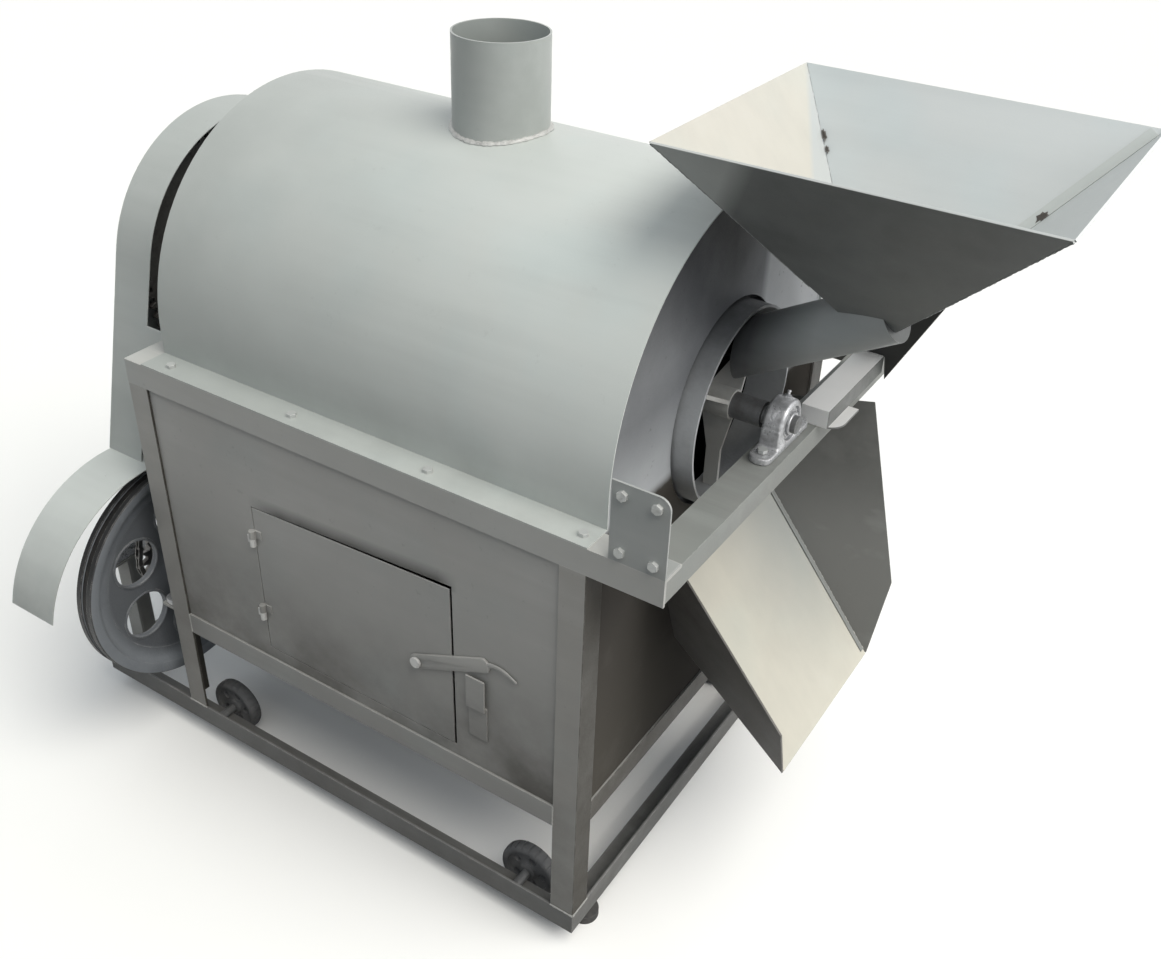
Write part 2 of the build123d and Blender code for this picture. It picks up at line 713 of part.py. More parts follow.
with BuildPart() as hopper_drum_wall:
    sheet_plate([(hopper_x0, rim_y0, z_rim), (hopper_x0, rim_y1, z_rim),
                 (outlet_x0, outlet_y1, z_outlet), (outlet_x0, outlet_y0, z_outlet)],
                hopper_wall, (-1, 0, 0))
    rod(pipe_start, pipe_way, pipe_radius, pipe_length, mode=Mode.SUBTRACT)
hopper_drum_wall.part.label = "hopper_drum_wall"
export_step(hopper_drum_wall.part, "parts/hopper_drum_wall.step")

with BuildPart() as hopper_outer_wall:
    sheet_plate([(hopper_x1, rim_y0, z_rim), (hopper_x1, rim_y1, z_rim),
                 (outlet_x1, outlet_y1, z_outlet), (outlet_x1, outlet_y0, z_outlet)],
                hopper_wall, (1, 0, 0))
    rod(pipe_start, pipe_way, pipe_radius, pipe_length, mode=Mode.SUBTRACT)
hopper_outer_wall.part.label = "hopper_outer_wall"
export_step(hopper_outer_wall.part, "parts/hopper_outer_wall.step")

with BuildPart() as feed_pipe:
    rod(pipe_start, pipe_way, pipe_radius, pipe_length)
    rod(pipe_start, pipe_way, pipe_radius - pipe_wall, pipe_length - pipe_wall, mode=Mode.SUBTRACT)
    block(x_mouth - 2 * pipe_radius, x_mouth + pipe_end, y_axis - pipe_radius, y_axis + pipe_radius,
          z_axis - pipe_radius, z_axis + hood_radius, mode=Mode.SUBTRACT)
    with BuildSketch(Plane.XY.offset(z_outlet)):
        with Locations((x_mouth + outlet_x, y_axis)):
            Rectangle(outlet_size, outlet_width)
    with BuildSketch(Plane.XY.offset(z_rim)):
        with Locations(((hopper_x0 + hopper_x1) / 2, y_axis)):
            Rectangle(hopper_x1 - hopper_x0, hopper_width)
    loft(mode=Mode.SUBTRACT)
feed_pipe.part.label = "feed_pipe"
export_step(feed_pipe.part, "parts/feed_pipe.step")

bracket_x0 = x_beam - bracket_inset
bracket_x1 = bracket_x0 + bracket_width
bracket_y0 = y_axis + bracket_start
bracket_y1 = bracket_y0 + bracket_length
z_bracket = z_top + bracket_height

with BuildPart() as hopper_bracket:
    block(bracket_x0, bracket_x1, bracket_y0, bracket_y1, z_top, z_bracket)
    block(bracket_x0 + bracket_wall, bracket_x1 - bracket_wall, bracket_y0 + bracket_wall, bracket_y1,
          z_top, z_bracket - bracket_wall, mode=Mode.SUBTRACT)
    with BuildSketch(Plane.XY.offset(z_top)):
        with Locations(((bracket_x0 + bracket_x1 + bracket_foot) / 2, bracket_y0 + bracket_foot_length / 2)):
            foot_shape = Rectangle(bracket_width + bracket_foot, bracket_foot_length)
        fillet(foot_shape.vertices().group_by(Axis.Y)[0].sort_by(Axis.X)[-1], bracket_round)
    extrude(amount=bracket_wall)
hopper_bracket.part.label = "hopper_bracket"
export_step(hopper_bracket.part, "parts/hopper_bracket.step")

wall_shift = hopper_wall * hypot(hopper_height, (hopper_width - outlet_width) / 2) / hopper_height

lean_sin = sin(radians(support_lean))
lean_cos = cos(radians(support_lean))
spread_tan = tan(radians(support_spread))
y_support = bracket_y1 - hopper_wall / lean_cos
support_length = (z_rim - support_drop - z_bracket) / lean_cos
support_skirt = (support_over - support_gap) / spread_tan
support_x1 = bracket_x1 + support_over

with BuildPart() as hopper_support:
    with BuildSketch(Plane(origin=(0, y_support, z_bracket), x_dir=(1, 0, 0), z_dir=(0, -lean_cos, -lean_sin))):
        with BuildLine():
            Polyline((bracket_x0, -hopper_wall), (bracket_x1 + support_gap, -hopper_wall),
                     (bracket_x1 + support_gap, -support_skirt),
                     (support_x1 + support_length * spread_tan, support_length),
                     (bracket_x0, support_length), close=True)
        make_face()
    extrude(amount=-hopper_wall)
    block(bracket_x0 - 1, bracket_x1 + support_gap, bracket_y0, y_far, z_top, z_bracket, mode=Mode.SUBTRACT)
    with BuildSketch(Plane.XY.offset(z_outlet)):
        with Locations((x_mouth + outlet_x, y_axis)):
            Rectangle(outlet_size, outlet_width + 2 * wall_shift)
    with BuildSketch(Plane.XY.offset(z_rim)):
        with Locations(((hopper_x0 + hopper_x1) / 2, y_axis)):
            Rectangle(hopper_x1 - hopper_x0, hopper_width + 2 * wall_shift)
    loft(mode=Mode.SUBTRACT)
hopper_support.part.label = "hopper_support"
export_step(hopper_support.part, "parts/hopper_support.step")

# Discharge chute
chute_sin = sin(radians(chute_slope))
chute_cos = cos(radians(chute_slope))
chute_x = x_mouth + chute_reach
chute_z = z_top - chute_drop
x_plate = x_mouth - angle_wall


def chute_point(x, z, side):
    rise = (x - chute_x) * chute_sin + (z - chute_z) * chute_cos
    return (x, y_axis + side * (chute_half_width + chute_splay * rise / chute_side_height), z)


chute_lip = (chute_x + chute_lip_lean, chute_z + chute_lip_height)
chute_run = (chute_reach + angle_wall) / chute_cos - chute_wall * chute_sin / chute_cos
chute_tuck = chute_half_width - chute_wall * chute_splay / chute_side_height

with BuildPart() as chute_floor:
    sheet_plate([(chute_x, y_axis - chute_tuck, chute_z), (chute_x, y_axis + chute_tuck, chute_z),
                 (chute_x - chute_run * chute_cos, y_axis + chute_tuck, chute_z + chute_run * chute_sin),
                 (chute_x - chute_run * chute_cos, y_axis - chute_tuck, chute_z + chute_run * chute_sin)],
                chute_wall, (-chute_sin, 0, -chute_cos))
chute_floor.part.label = "chute_floor"
export_step(chute_floor.part, "parts/chute_floor.step")

x_trim = x_plate - angle_leg
chute_slant = chute_sin / chute_cos
near_top = chute_lip[1] + (chute_lip[0] - x_trim) * chute_slant - chute_near_drop

with BuildPart() as chute_near_wall:
    sheet_plate([chute_point(chute_x, chute_z, -1), chute_point(*chute_lip, -1),
                 chute_point(x_trim, near_top, -1),
                 chute_point(x_trim, chute_z + chute_keel, -1)], chute_wall, (0, -1, 0))
    block(x_trim - angle_leg, x_plate, y_near, y_far, z_frame, z_crown, mode=Mode.SUBTRACT)
chute_near_wall.part.label = "chute_near_wall"
export_step(chute_near_wall.part, "parts/chute_near_wall.step")

z_far_top = z_top - beam_depth - chute_beam_gap

with BuildPart() as chute_far_wall:
    sheet_plate([chute_point(chute_x, chute_z, 1), chute_point(*chute_lip, 1),
                 chute_point(x_beam + chute_far_step, z_far_top, 1),
                 chute_point(x_trim, z_far_top, 1),
                 chute_point(x_trim, chute_z + chute_keel, 1)], chute_wall, (0, 1, 0))
    block(x_trim - angle_leg, x_plate, y_near, y_far, z_frame, z_crown, mode=Mode.SUBTRACT)
chute_far_wall.part.label = "chute_far_wall"
export_step(chute_far_wall.part, "parts/chute_far_wall.step")

# Chain cover and pulley fender
def sprocket_tip(teeth):
    return chain_pitch / (2 * sin(pi / teeth)) + tooth_rise


z_cover_low = z_guard + guard_outer
cover_radius = sprocket_tip(drum_teeth) + belt_gap + chain_depth + cover_room + sheet

with BuildPart() as chain_cover:
    with BuildSketch(Plane.YZ.offset(x_drive - cover_rear)) as cover_shape:
        with Locations((y_axis, z_axis)):
            Circle(cover_radius)
        with Locations((y_near + (cover_near + cover_far) / 2, z_cover_low - cover_drop)):
            Rectangle(cover_far - cover_near, sheet)
        make_hull()
    extrude(amount=cover_rear)
    with BuildSketch(Plane.YZ.offset(x_drive - cover_rear + sheet)):
        add(cover_shape.sketch_local)
        offset(amount=-sheet, mode=Mode.REPLACE)
    extrude(amount=cover_rear, mode=Mode.SUBTRACT)
    block(x_drive - 2 * cover_rear, x_mouth, y_near - frame_width, y_far, z_frame, z_cover_low,
          mode=Mode.SUBTRACT)
    block(x_drive - cover_front, x_mouth, y_near, y_far, z_top - angle_wall, z_crown,
          mode=Mode.SUBTRACT)
    block(x_drive - cover_front, x_mouth, y_near, y_far, z_frame, z_top - angle_leg, mode=Mode.SUBTRACT)
chain_cover.part.label = "chain_cover"
export_step(chain_cover.part, "parts/chain_cover.step")

with BuildPart() as pulley_fender:
    with BuildSketch(Plane.YZ.offset(x_drive - guard_rear)):
        with BuildLine():
            swing = 90 - guard_end_angle
            hub = (y_near + guard_y, z_guard)
            outer = CenterArc(hub, guard_outer, 90, swing)
            inner = CenterArc(hub, guard_radius, 90, swing)
            Line(outer @ 0, inner @ 0)
            Line(outer @ 1, inner @ 1)
        make_face()
        with Locations((y_near + guard_y + guard_flat / 2, z_guard + guard_radius + sheet / 2)):
            Rectangle(guard_flat, sheet)
    extrude(amount=guard_rear - guard_front)
pulley_fender.part.label = "pulley_fender"
export_step(pulley_fender.part, "parts/pulley_fender.step")


# Drive pieces
def sprocket_sketch(y, z, teeth):
    root = sprocket_tip(teeth) - tooth_depth
    with Locations((y, z)):
        Circle(root)
        with PolarLocations(root, teeth):
            Polygon((-1, -chain_pitch * 0.3), (tooth_depth, -chain_pitch * 0.13),
                    (tooth_depth, chain_pitch * 0.13), (-1, chain_pitch * 0.3), align=None)
        Circle(journal_radius, mode=Mode.SUBTRACT)


with BuildPart() as drum_sprocket:
    with BuildSketch(Plane.YZ.offset(x_sprocket)):
        sprocket_sketch(y_axis, z_axis, drum_teeth)
        with Locations((y_axis, z_axis)):
            with PolarLocations(sprocket_hole_circle, 6):
                Circle(sprocket_hole, mode=Mode.SUBTRACT)
    extrude(amount=sprocket_thickness)
    with BuildSketch(Plane.YZ.offset(x_sprocket)):
        with Locations((y_axis, z_axis)):
            Circle(2 * journal_radius)
            Circle(journal_radius, mode=Mode.SUBTRACT)
    extrude(amount=-sprocket_hub)
drum_sprocket.part.label = "drum_sprocket"
export_step(drum_sprocket.part, "parts/drum_sprocket.step")

with BuildPart() as countershaft_sprocket:
    with BuildSketch(Plane.YZ.offset(x_sprocket)):
        sprocket_sketch(y_counter, z_counter, counter_teeth)
    extrude(amount=sprocket_thickness)
    with BuildSketch(Plane.YZ.offset(x_sprocket)):
        with Locations((y_counter, z_counter)):
            Circle(2 * journal_radius)
            Circle(journal_radius, mode=Mode.SUBTRACT)
    extrude(amount=-sprocket_hub)
countershaft_sprocket.part.label = "countershaft_sprocket"
export_step(countershaft_sprocket.part, "parts/countershaft_sprocket.step")

with BuildPart() as drive_chain:
    for grow, cut in ((belt_gap + chain_depth, Mode.ADD), (belt_gap, Mode.SUBTRACT)):
        with BuildSketch(Plane.YZ.offset(x_sprocket - 1)):
            with Locations((y_axis, z_axis)):
                Circle(sprocket_tip(drum_teeth) + grow)
            with Locations((y_counter, z_counter)):
                Circle(sprocket_tip(counter_teeth) + grow)
            make_hull()
        extrude(amount=sprocket_thickness + 2, mode=cut)
drive_chain.part.label = "drive_chain"
export_step(drive_chain.part, "parts/drive_chain.step")

x_pulley = x_drive - pulley_x - pulley_width
groove_width = belt_width + groove_room
groove_radius = pulley_radius - groove_depth
flank = (pulley_width - groove_width) / 2

with BuildPart() as large_pulley:
    rod((x_pulley, y_counter, z_counter), (1, 0, 0), pulley_radius, flank)
    rod((x_pulley + flank, y_counter, z_counter), (1, 0, 0), groove_radius, groove_width)
    rod((x_pulley + flank + groove_width, y_counter, z_counter), (1, 0, 0), pulley_radius, flank)
    web = (pulley_width - pulley_web) / 2
    for x in (x_pulley, x_pulley + web + pulley_web):
        rod((x, y_counter, z_counter), (1, 0, 0), groove_radius - pulley_rim, web, mode=Mode.SUBTRACT)
    rod((x_pulley, y_counter, z_counter), (1, 0, 0), 3 * journal_radius, pulley_width)
    rod((x_pulley, y_counter, z_counter), (1, 0, 0), journal_radius, pulley_width, mode=Mode.SUBTRACT)
    for k in range(pulley_holes):
        turn = 2 * pi * (k + 0.5) / pulley_holes
        rod((x_pulley, y_counter + pulley_hole_circle * cos(turn), z_counter + pulley_hole_circle * sin(turn)),
            (1, 0, 0), pulley_hole_radius, pulley_width, mode=Mode.SUBTRACT)
large_pulley.part.label = "large_pulley"
export_step(large_pulley.part, "parts/large_pulley.step")

with BuildPart() as countershaft:
    rod((x_base + angle_wall, y_counter, z_counter), (1, 0, 0), journal_radius,
        x_drive - 2 - x_base - angle_wall)
countershaft.part.label = "countershaft"
export_step(countershaft.part, "parts/countershaft.step")

motor_groove = motor_pulley_radius - groove_depth

with BuildPart() as motor_pulley:
    rod((x_pulley, y_motor, z_motor), (1, 0, 0), motor_pulley_radius, flank)
    rod((x_pulley + flank, y_motor, z_motor), (1, 0, 0), motor_groove, groove_width)
    rod((x_pulley + flank + groove_width, y_motor, z_motor), (1, 0, 0), motor_pulley_radius, flank)
    rod((x_pulley, y_motor, z_motor), (1, 0, 0), motor_shaft_radius, pulley_width, mode=Mode.SUBTRACT)
motor_pulley.part.label = "motor_pulley"
export_step(motor_pulley.part, "parts/motor_pulley.step")

with BuildPart() as drive_belt:
    for grow, cut in ((belt_gap + belt_depth, Mode.ADD), (belt_gap, Mode.SUBTRACT)):
        with BuildSketch(Plane.YZ.offset(x_pulley + (pulley_width - belt_width) / 2)):
            with Locations((y_counter, z_counter)):
                Circle(groove_radius + grow)
            with Locations((y_motor, z_motor)):
                Circle(motor_groove + grow)
            make_hull()
        extrude(amount=belt_width, mode=cut)
drive_belt.part.label = "drive_belt"
export_step(drive_belt.part, "parts/drive_belt.step")

x_motor = x_drive - motor_nose
z_motor_foot = z_frame + 2 * angle_wall

with BuildPart() as motor:
    rod((x_motor, y_motor, z_motor), (1, 0, 0), motor_radius - fin_height, motor_length)
    for k in range(motor_fins):
        x = x_motor + motor_length * (k + 1) / (motor_fins + 3)
        rod((x, y_motor, z_motor), (1, 0, 0), motor_radius, fin_height / 2)
    rod((x_motor + motor_length - fan_cover, y_motor, z_motor), (1, 0, 0), motor_radius, fan_cover)
    block(x_motor + fan_cover, x_motor + motor_length - fan_cover, y_motor - motor_radius + fin_height,
          y_motor + motor_radius - fin_height, z_motor_foot, z_motor_foot + fin_height)
    block(x_motor + fan_cover, x_motor + motor_length - fan_cover, y_motor - motor_radius / 2,
          y_motor + motor_radius / 2, z_motor_foot, z_motor)
    block(x_motor + fan_cover, x_motor + motor_length / 2, y_motor - motor_radius / 3,
          y_motor + motor_radius / 3, z_motor, z_motor + motor_radius + fin_height)
    rod((x_motor, y_motor, z_motor), (1, 0, 0), motor_shaft_radius + running_gap, fan_cover,
        mode=Mode.SUBTRACT)
motor.part.label = "motor"
export_step(motor.part, "parts/motor.step")

with BuildPart() as motor_shaft:
    rod((x_pulley, y_motor, z_motor), (1, 0, 0), motor_shaft_radius, x_motor + fan_cover - 1 - x_pulley)
motor_shaft.part.label = "motor_shaft"
export_step(motor_shaft.part, "parts/motor_shaft.step")

y_bearer = y_motor - motor_bearer
y_bar_far = y_motor + motor_radius - fin_height / 2

x_motor_end = x_motor + motor_length

with BuildPart() as motor_base:
    block(x_base + angle_leg, x_motor_end, y_bearer, y_bearer + angle_leg, z_frame, z_frame + angle_wall)
    block(x_base + angle_leg, x_motor_end, y_bearer, y_bearer + angle_wall, z_frame, z_base)
    block(x_base + angle_leg, x_motor_end, y_bar_far - angle_leg, y_bar_far, z_frame, z_frame + angle_wall)
    block(x_motor_end - angle_leg, x_motor_end, y_bearer, y_far - angle_leg, z_frame, z_frame + angle_wall)
    block(x_motor + fan_cover, x_motor_end, y_bearer + angle_wall, y_bar_far,
          z_frame + angle_wall, z_motor_foot)
motor_base.part.label = "motor_base"
export_step(motor_base.part, "parts/motor_base.step")

# Fire door, hinges and latch
y_hinge = y_face - hinge_radius
hinge_leaf = 3 * hinge_radius

with BuildPart() as door_hinge_posts:
    for height in hinge_heights:
        z = z_frame + height
        rod((x_door_left, y_hinge, z), (0, 0, 1), hinge_radius, hinge_barrel)
        rod((x_door_left, y_hinge, z), (0, 0, 1), hinge_pin_radius, 2 * hinge_barrel - 1)
        block(x_door_left - hinge_leaf, x_door_left, y_face - sheet, y_face, z, z + hinge_barrel)
door_hinge_posts.part.label = "door_hinge_posts"
export_step(door_hinge_posts.part, "parts/door_hinge_posts.step")

x_latch = x_mouth - latch_x
z_latch = z_frame + latch_height

with BuildPart() as fire_door:
    with BuildSketch(Plane.XZ.offset(-y_face)):
        with BuildLine():
            Polyline((x_door_left + door_edge_gap, z_frame + door_bottom + door_edge_gap),
                     (x_door_right - door_gap, z_frame + door_bottom + door_edge_gap),
                     (x_door_right - door_gap, z_frame + door_top_right - door_gap - door_sag),
                     (x_door_left + door_edge_gap, z_frame + door_top_left - door_edge_gap), close=True)
        make_face()
        with Locations((x_latch, z_latch)):
            Circle(latch_bolt_radius, mode=Mode.SUBTRACT)
    extrude(amount=-sheet)
    for height in hinge_heights:
        z = z_frame + height + hinge_barrel + hinge_gap
        rod((x_door_left, y_hinge, z), (0, 0, 1), hinge_radius, hinge_barrel)
        block(x_door_left, x_door_left + hinge_leaf, y_face - sheet, y_face, z, z + hinge_barrel)
        rod((x_door_left, y_hinge, z), (0, 0, 1), hinge_pin_radius + running_gap, hinge_barrel - 1,
            mode=Mode.SUBTRACT)
fire_door.part.label = "fire_door"
export_step(fire_door.part, "parts/fire_door.step")

y_bar = y_face - latch_gap
y_head = y_bar - latch_thickness - latch_gap / 2

with BuildPart() as latch_pivot:
    rod((x_latch, y_head, z_latch), (0, 1, 0), latch_bolt_radius,
        y_face + sheet + latch_bolt_head - y_head)
    rod((x_latch, y_head - latch_bolt_head, z_latch), (0, 1, 0), 1.8 * latch_bolt_radius, latch_bolt_head)
    rod((x_latch, y_face + sheet, z_latch), (0, 1, 0), 1.7 * latch_bolt_radius, latch_bolt_head)
latch_pivot.part.label = "latch_pivot"
export_step(latch_pivot.part, "parts/latch_pivot.step")

lift = radians(latch_lift)
bar_end = latch_x - keeper_x + keeper_width
half_bar = latch_depth / 2

with BuildPart() as latch_bar:
    with BuildSketch(Plane(origin=(x_latch, y_bar, z_latch), x_dir=(cos(lift), 0, sin(lift)), z_dir=(0, -1, 0))):
        Circle(half_bar)
        with BuildLine():
            Polyline((0, half_bar), (bar_end - 8, half_bar), (bar_end + 18, 4), (bar_end + 46, -24),
                     (bar_end + 36, -32), (bar_end + 10, -6), (bar_end - 8, -half_bar), (0, -half_bar),
                     close=True)
        make_face()
        Circle(latch_bolt_radius + running_gap, mode=Mode.SUBTRACT)
    extrude(amount=latch_thickness)
latch_bar.part.label = "latch_bar"
export_step(latch_bar.part, "parts/latch_bar.step")

keeper_x0 = x_mouth - keeper_x - keeper_width / 2
keeper_x1 = x_mouth - keeper_x + keeper_width / 2
keeper_arm = keeper_x0 - x_latch
z_keeper_top = z_latch + keeper_arm * tan(lift) - half_bar / cos(lift) - 2 * latch_gap
z_keeper_web = z_latch - half_bar - keeper_drop
y_keeper = y_bar - latch_thickness - latch_gap

with BuildPart() as latch_keeper:
    block(keeper_x0, keeper_x1, y_keeper - keeper_wall, y_keeper, z_keeper_web, z_keeper_top)
    block(keeper_x0, keeper_x1, y_keeper, y_face, z_keeper_web, z_keeper_web + keeper_wall)
    block(keeper_x0, keeper_x1, y_face - keeper_wall, y_face, z_keeper_web - keeper_foot, z_keeper_web)
latch_keeper.part.label = "latch_keeper"
export_step(latch_keeper.part, "parts/latch_keeper.step")

# Wheels, axles and parking feet
spacer_radius = axle_height - angle_wall - 0.5
wheel_side_gap = 0.5
wheel_places = {
    "wheel_near_mouth": (x_mouth - mouth_wheel_x, y_near, 1),
    "wheel_near_drive": (x_drive + drive_wheel_x, y_near, 1),
    "wheel_far_mouth": (x_mouth - mouth_wheel_x, y_far, -1),
    "wheel_far_drive": (x_drive + drive_wheel_x, y_far, -1),
}

with BuildPart() as wheel_axles:
    for x, y_rail, side in wheel_places.values():
        reach = wheel_inset + wheel_width + wheel_side_gap
        way = (0, side, 0)
        rod((x, y_rail + side * angle_wall, wheel_radius), way, spacer_radius,
            wheel_inset - angle_wall - wheel_side_gap)
        rod((x, y_rail + side * angle_wall, wheel_radius), way, axle_radius, reach - angle_wall)
        rod((x, y_rail + side * reach, wheel_radius), way, 1.6 * axle_radius, 4)
wheel_axles.part.label = "wheel_axles"
export_step(wheel_axles.part, "parts/wheel_axles.step")

for name, (x, y_rail, side) in wheel_places.items():
    with BuildPart() as wheel:
        start = (x, y_rail + side * wheel_inset, wheel_radius)
        way = (0, side, 0)
        rod(start, way, wheel_radius, wheel_width)
        for depth in (0, wheel_width - wheel_recess):
            spot = (x, y_rail + side * (wheel_inset + depth), wheel_radius)
            rod(spot, way, wheel_radius - tyre_depth, wheel_recess, mode=Mode.SUBTRACT)
        rod(start, way, wheel_hub, wheel_width)
        rod(start, way, axle_radius + running_gap, wheel_width, mode=Mode.SUBTRACT)
        for k in range(5):
            turn = 2 * pi * k / 5
            spot = (x + wheel_hole_circle * cos(turn), y_rail + side * wheel_inset,
                    wheel_radius + wheel_hole_circle * sin(turn))
            rod(spot, way, wheel_hole, wheel_width, mode=Mode.SUBTRACT)
    wheel.part.label = name
    export_step(wheel.part, f"parts/{name}.step")

with BuildPart() as parking_feet:
    for y in (y_near + foot_inset, y_far - foot_inset):
        foot = (x_mouth - angle_leg / 2, y, 0)
        rod(foot, (0, 0, 1), foot_radius, foot_pad)
        rod(foot, (0, 0, 1), axle_radius, z_frame)
        rod((foot[0], y, z_frame - foot_pad), (0, 0, 1), 2 * axle_radius, foot_pad / 2)
parking_feet.part.label = "parking_feet"
export_step(parking_feet.part, "parts/parking_feet.step")
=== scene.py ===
# %% [markdown]
# # A nut roasting machine
# The machine is a drum that turns over a fire, in a frame of angle iron, with a hopper that feeds it, a
# chute that empties it and a belt and chain that drive it. Its construction comes in as a fixed frame of
# named solids. This lesson gives every solid a finish, and models by hand what flat sheet and plain bar
# leave out: welds, castings with soft edges, tyres, chain links, a belt, lapped corners and the latch's
# bent handle.

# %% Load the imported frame
import json
from math import acos, atan2, cos, hypot, pi, radians, sin, sqrt

import bpy
from mathutils import Matrix, Vector


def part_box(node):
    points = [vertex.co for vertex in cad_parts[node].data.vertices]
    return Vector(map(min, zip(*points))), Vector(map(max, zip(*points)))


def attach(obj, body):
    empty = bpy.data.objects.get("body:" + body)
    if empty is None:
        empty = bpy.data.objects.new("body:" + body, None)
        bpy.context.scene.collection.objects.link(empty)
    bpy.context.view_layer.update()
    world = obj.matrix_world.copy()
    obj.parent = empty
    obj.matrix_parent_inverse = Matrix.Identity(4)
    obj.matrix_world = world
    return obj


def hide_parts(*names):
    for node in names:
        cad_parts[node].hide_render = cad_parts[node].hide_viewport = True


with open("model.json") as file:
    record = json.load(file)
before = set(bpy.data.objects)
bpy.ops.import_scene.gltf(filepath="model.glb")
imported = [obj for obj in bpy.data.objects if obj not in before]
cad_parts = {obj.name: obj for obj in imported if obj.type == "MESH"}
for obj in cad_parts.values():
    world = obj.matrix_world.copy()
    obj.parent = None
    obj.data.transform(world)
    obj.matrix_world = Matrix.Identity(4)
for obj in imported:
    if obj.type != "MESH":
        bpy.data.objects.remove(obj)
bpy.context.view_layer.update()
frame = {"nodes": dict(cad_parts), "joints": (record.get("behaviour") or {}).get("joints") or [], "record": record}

nodes = frame["nodes"]
record = frame["record"]
scene = bpy.context.scene
MM = 0.001
body_of = {node: body for body, names in record["behaviour"]["bodies"].items() for node in names}

# %% [markdown]
# ## Where things are
# Nothing here is placed by eye. The faces of the legs, the top of the cross beam and the axes of the shafts
# are read from the frame, so a piece that is added later sits on what carries it even if the construction
# changes.

# %% Datum faces and axes
legs_low, legs_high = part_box("legs")
x_drive, y_near = legs_low.xy
x_mouth, y_far = legs_high.xy
z_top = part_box("mouth_crossbeam")[1].z
joint_place = {joint["name"]: Vector(joint["pos_m"]) for joint in frame["joints"]}
drum_axis = joint_place["drum_spin"].yz
counter_axis = joint_place["countershaft_spin"].yz
motor_axis = joint_place["motor_spin"].yz
y_axis, z_axis = drum_axis
print("mouth face", round(x_mouth, 4), "drum axis", round(y_axis, 4), round(z_axis, 4))

# %% [markdown]
# ## Camera
# The photograph was solved as a plain pinhole view: how far the lens is to the right of the machine, how
# high it looks down from, and a slight lean of the hand that held it. The same view is set here, with no
# shift.

# %% Camera
photo_width = 1161
focal_pixels = 1226.0
azimuth, elevation, roll = radians(31.92), radians(33.52), radians(2.03)
lens_from_leg = Vector((0.6095, -0.9988, 1.5616))


def set_at(place, *axes):
    """The matrix that lays X, Y and Z along three axes and then moves to a place."""
    return Matrix.Translation(place) @ Matrix(axes).transposed().to_4x4()


back = Vector((sin(azimuth) * cos(elevation), -cos(azimuth) * cos(elevation), sin(elevation)))
level = (-back).cross(Vector((0, 0, 1))).normalized()
raised = level.cross(-back)
bpy.ops.object.camera_add()
camera = bpy.context.object
camera.matrix_world = set_at(Vector((x_mouth, y_near, legs_low.z)) + lens_from_leg,
                             level * cos(roll) + raised * sin(roll),
                             raised * cos(roll) - level * sin(roll), back)
camera.data.sensor_width = 36.0
camera.data.lens = camera.data.sensor_width * focal_pixels / photo_width
camera.data.clip_start = 0.05
camera.data.clip_end = 100.0
scene.camera = camera
scene.view_settings.view_transform = "Standard"
print("lens", round(camera.data.lens, 2))

# %% [markdown]
# ## Nodes in few words
# Every material below is a net of shader nodes. Each helper adds one node, sets it, feeds its inputs with
# plain values or with other nodes' outputs, and hands back what comes out, so that a finish reads like a
# sum.

# %% Node helpers
def is_output(value):
    return isinstance(value, bpy.types.NodeSocket)


def feed(socket, value):
    """Set a socket to a plain value or a colour, or link another node's output to it."""
    if is_output(value):
        socket.id_data.links.new(value, socket)
    else:
        socket.default_value = (*value, 1) if socket.type == "RGBA" else value


def add_node(kind, inputs=None, tree=None, **settings):
    """Add a node to a tree, or to that of its first linked input, set it, feed it and return its outputs."""
    inputs = inputs or {}
    tree = tree or next(value.id_data for value in inputs.values() if is_output(value))
    made = tree.nodes.new("ShaderNode" + kind)
    for label, value in settings.items():
        setattr(made, label, value)
    for label, value in inputs.items():
        feed(made.inputs[label], value)
    return made.outputs


def tint(factor, under, over, blend="MIX"):
    colors = {"Factor": factor, "A": under, "B": over}
    return add_node("Mix", colors, data_type="RGBA", blend_type=blend)["Result"]


def combine(operation, first, second, clamp=False):
    return add_node("Math", {0: first, 1: second}, operation=operation, use_clamp=clamp)[0]


def product(first, *others):
    for value in others:
        first = combine("MULTIPLY", first, value)
    return first


def noise(vector, scale, detail=3.0, rough=0.55):
    grain = {"Scale": scale, "Detail": detail, "Roughness": rough}
    return add_node("TexNoise", {"Vector": vector, **grain})["Fac"]


def stretched(vector, scale):
    return add_node("Mapping", {"Vector": vector, "Scale": scale})["Vector"]


def remap(value, low, high, new_low=0.0, new_high=1.0, **settings):
    span = {"From Min": low, "From Max": high, "To Min": new_low, "To Max": new_high}
    return add_node("MapRange", {"Value": value, **span}, **settings)["Result"]


def ramp(vector, way, clear, full):
    """A mask that grows from 0 at one place along a direction to 1 at another."""
    along = add_node("VectorMath", {0: vector, 1: way}, operation="DOT_PRODUCT")["Value"]
    return remap(along, clear, full)


def fresh_material(name, specular):
    material = bpy.data.materials.new(name)
    material.use_nodes = True
    tree = material.node_tree
    surface = tree.nodes["Principled BSDF"].inputs
    feed(surface["Specular IOR Level"], specular)
    return material, add_node("TexCoord", tree=tree)["Object"], surface


print("node helpers ready")

# %% [markdown]
# ## Light and floor
# A cut-out photograph has a white ground and the light of an open yard: a broad warm light from high over
# the mouth end, a little light from the side of the camera and a sky that is brighter overhead than at the
# horizon. Two soft suns, a weak panel of light off the mouth end and a graded sky do that. Sky and ground
# are white where the camera or a reflection sees them, and dimmer for the light that they shed, so that
# faces that look down stay dark as they do over bare earth.

# %% World
def seen_rays(tree):
    """A value of 1 for rays from the camera, from gloss and through glass."""
    rays = add_node("LightPath", tree=tree)
    total = combine("ADD", rays["Is Camera Ray"], rays["Is Glossy Ray"])
    return combine("ADD", total, rays["Is Transmission Ray"], clamp=True)


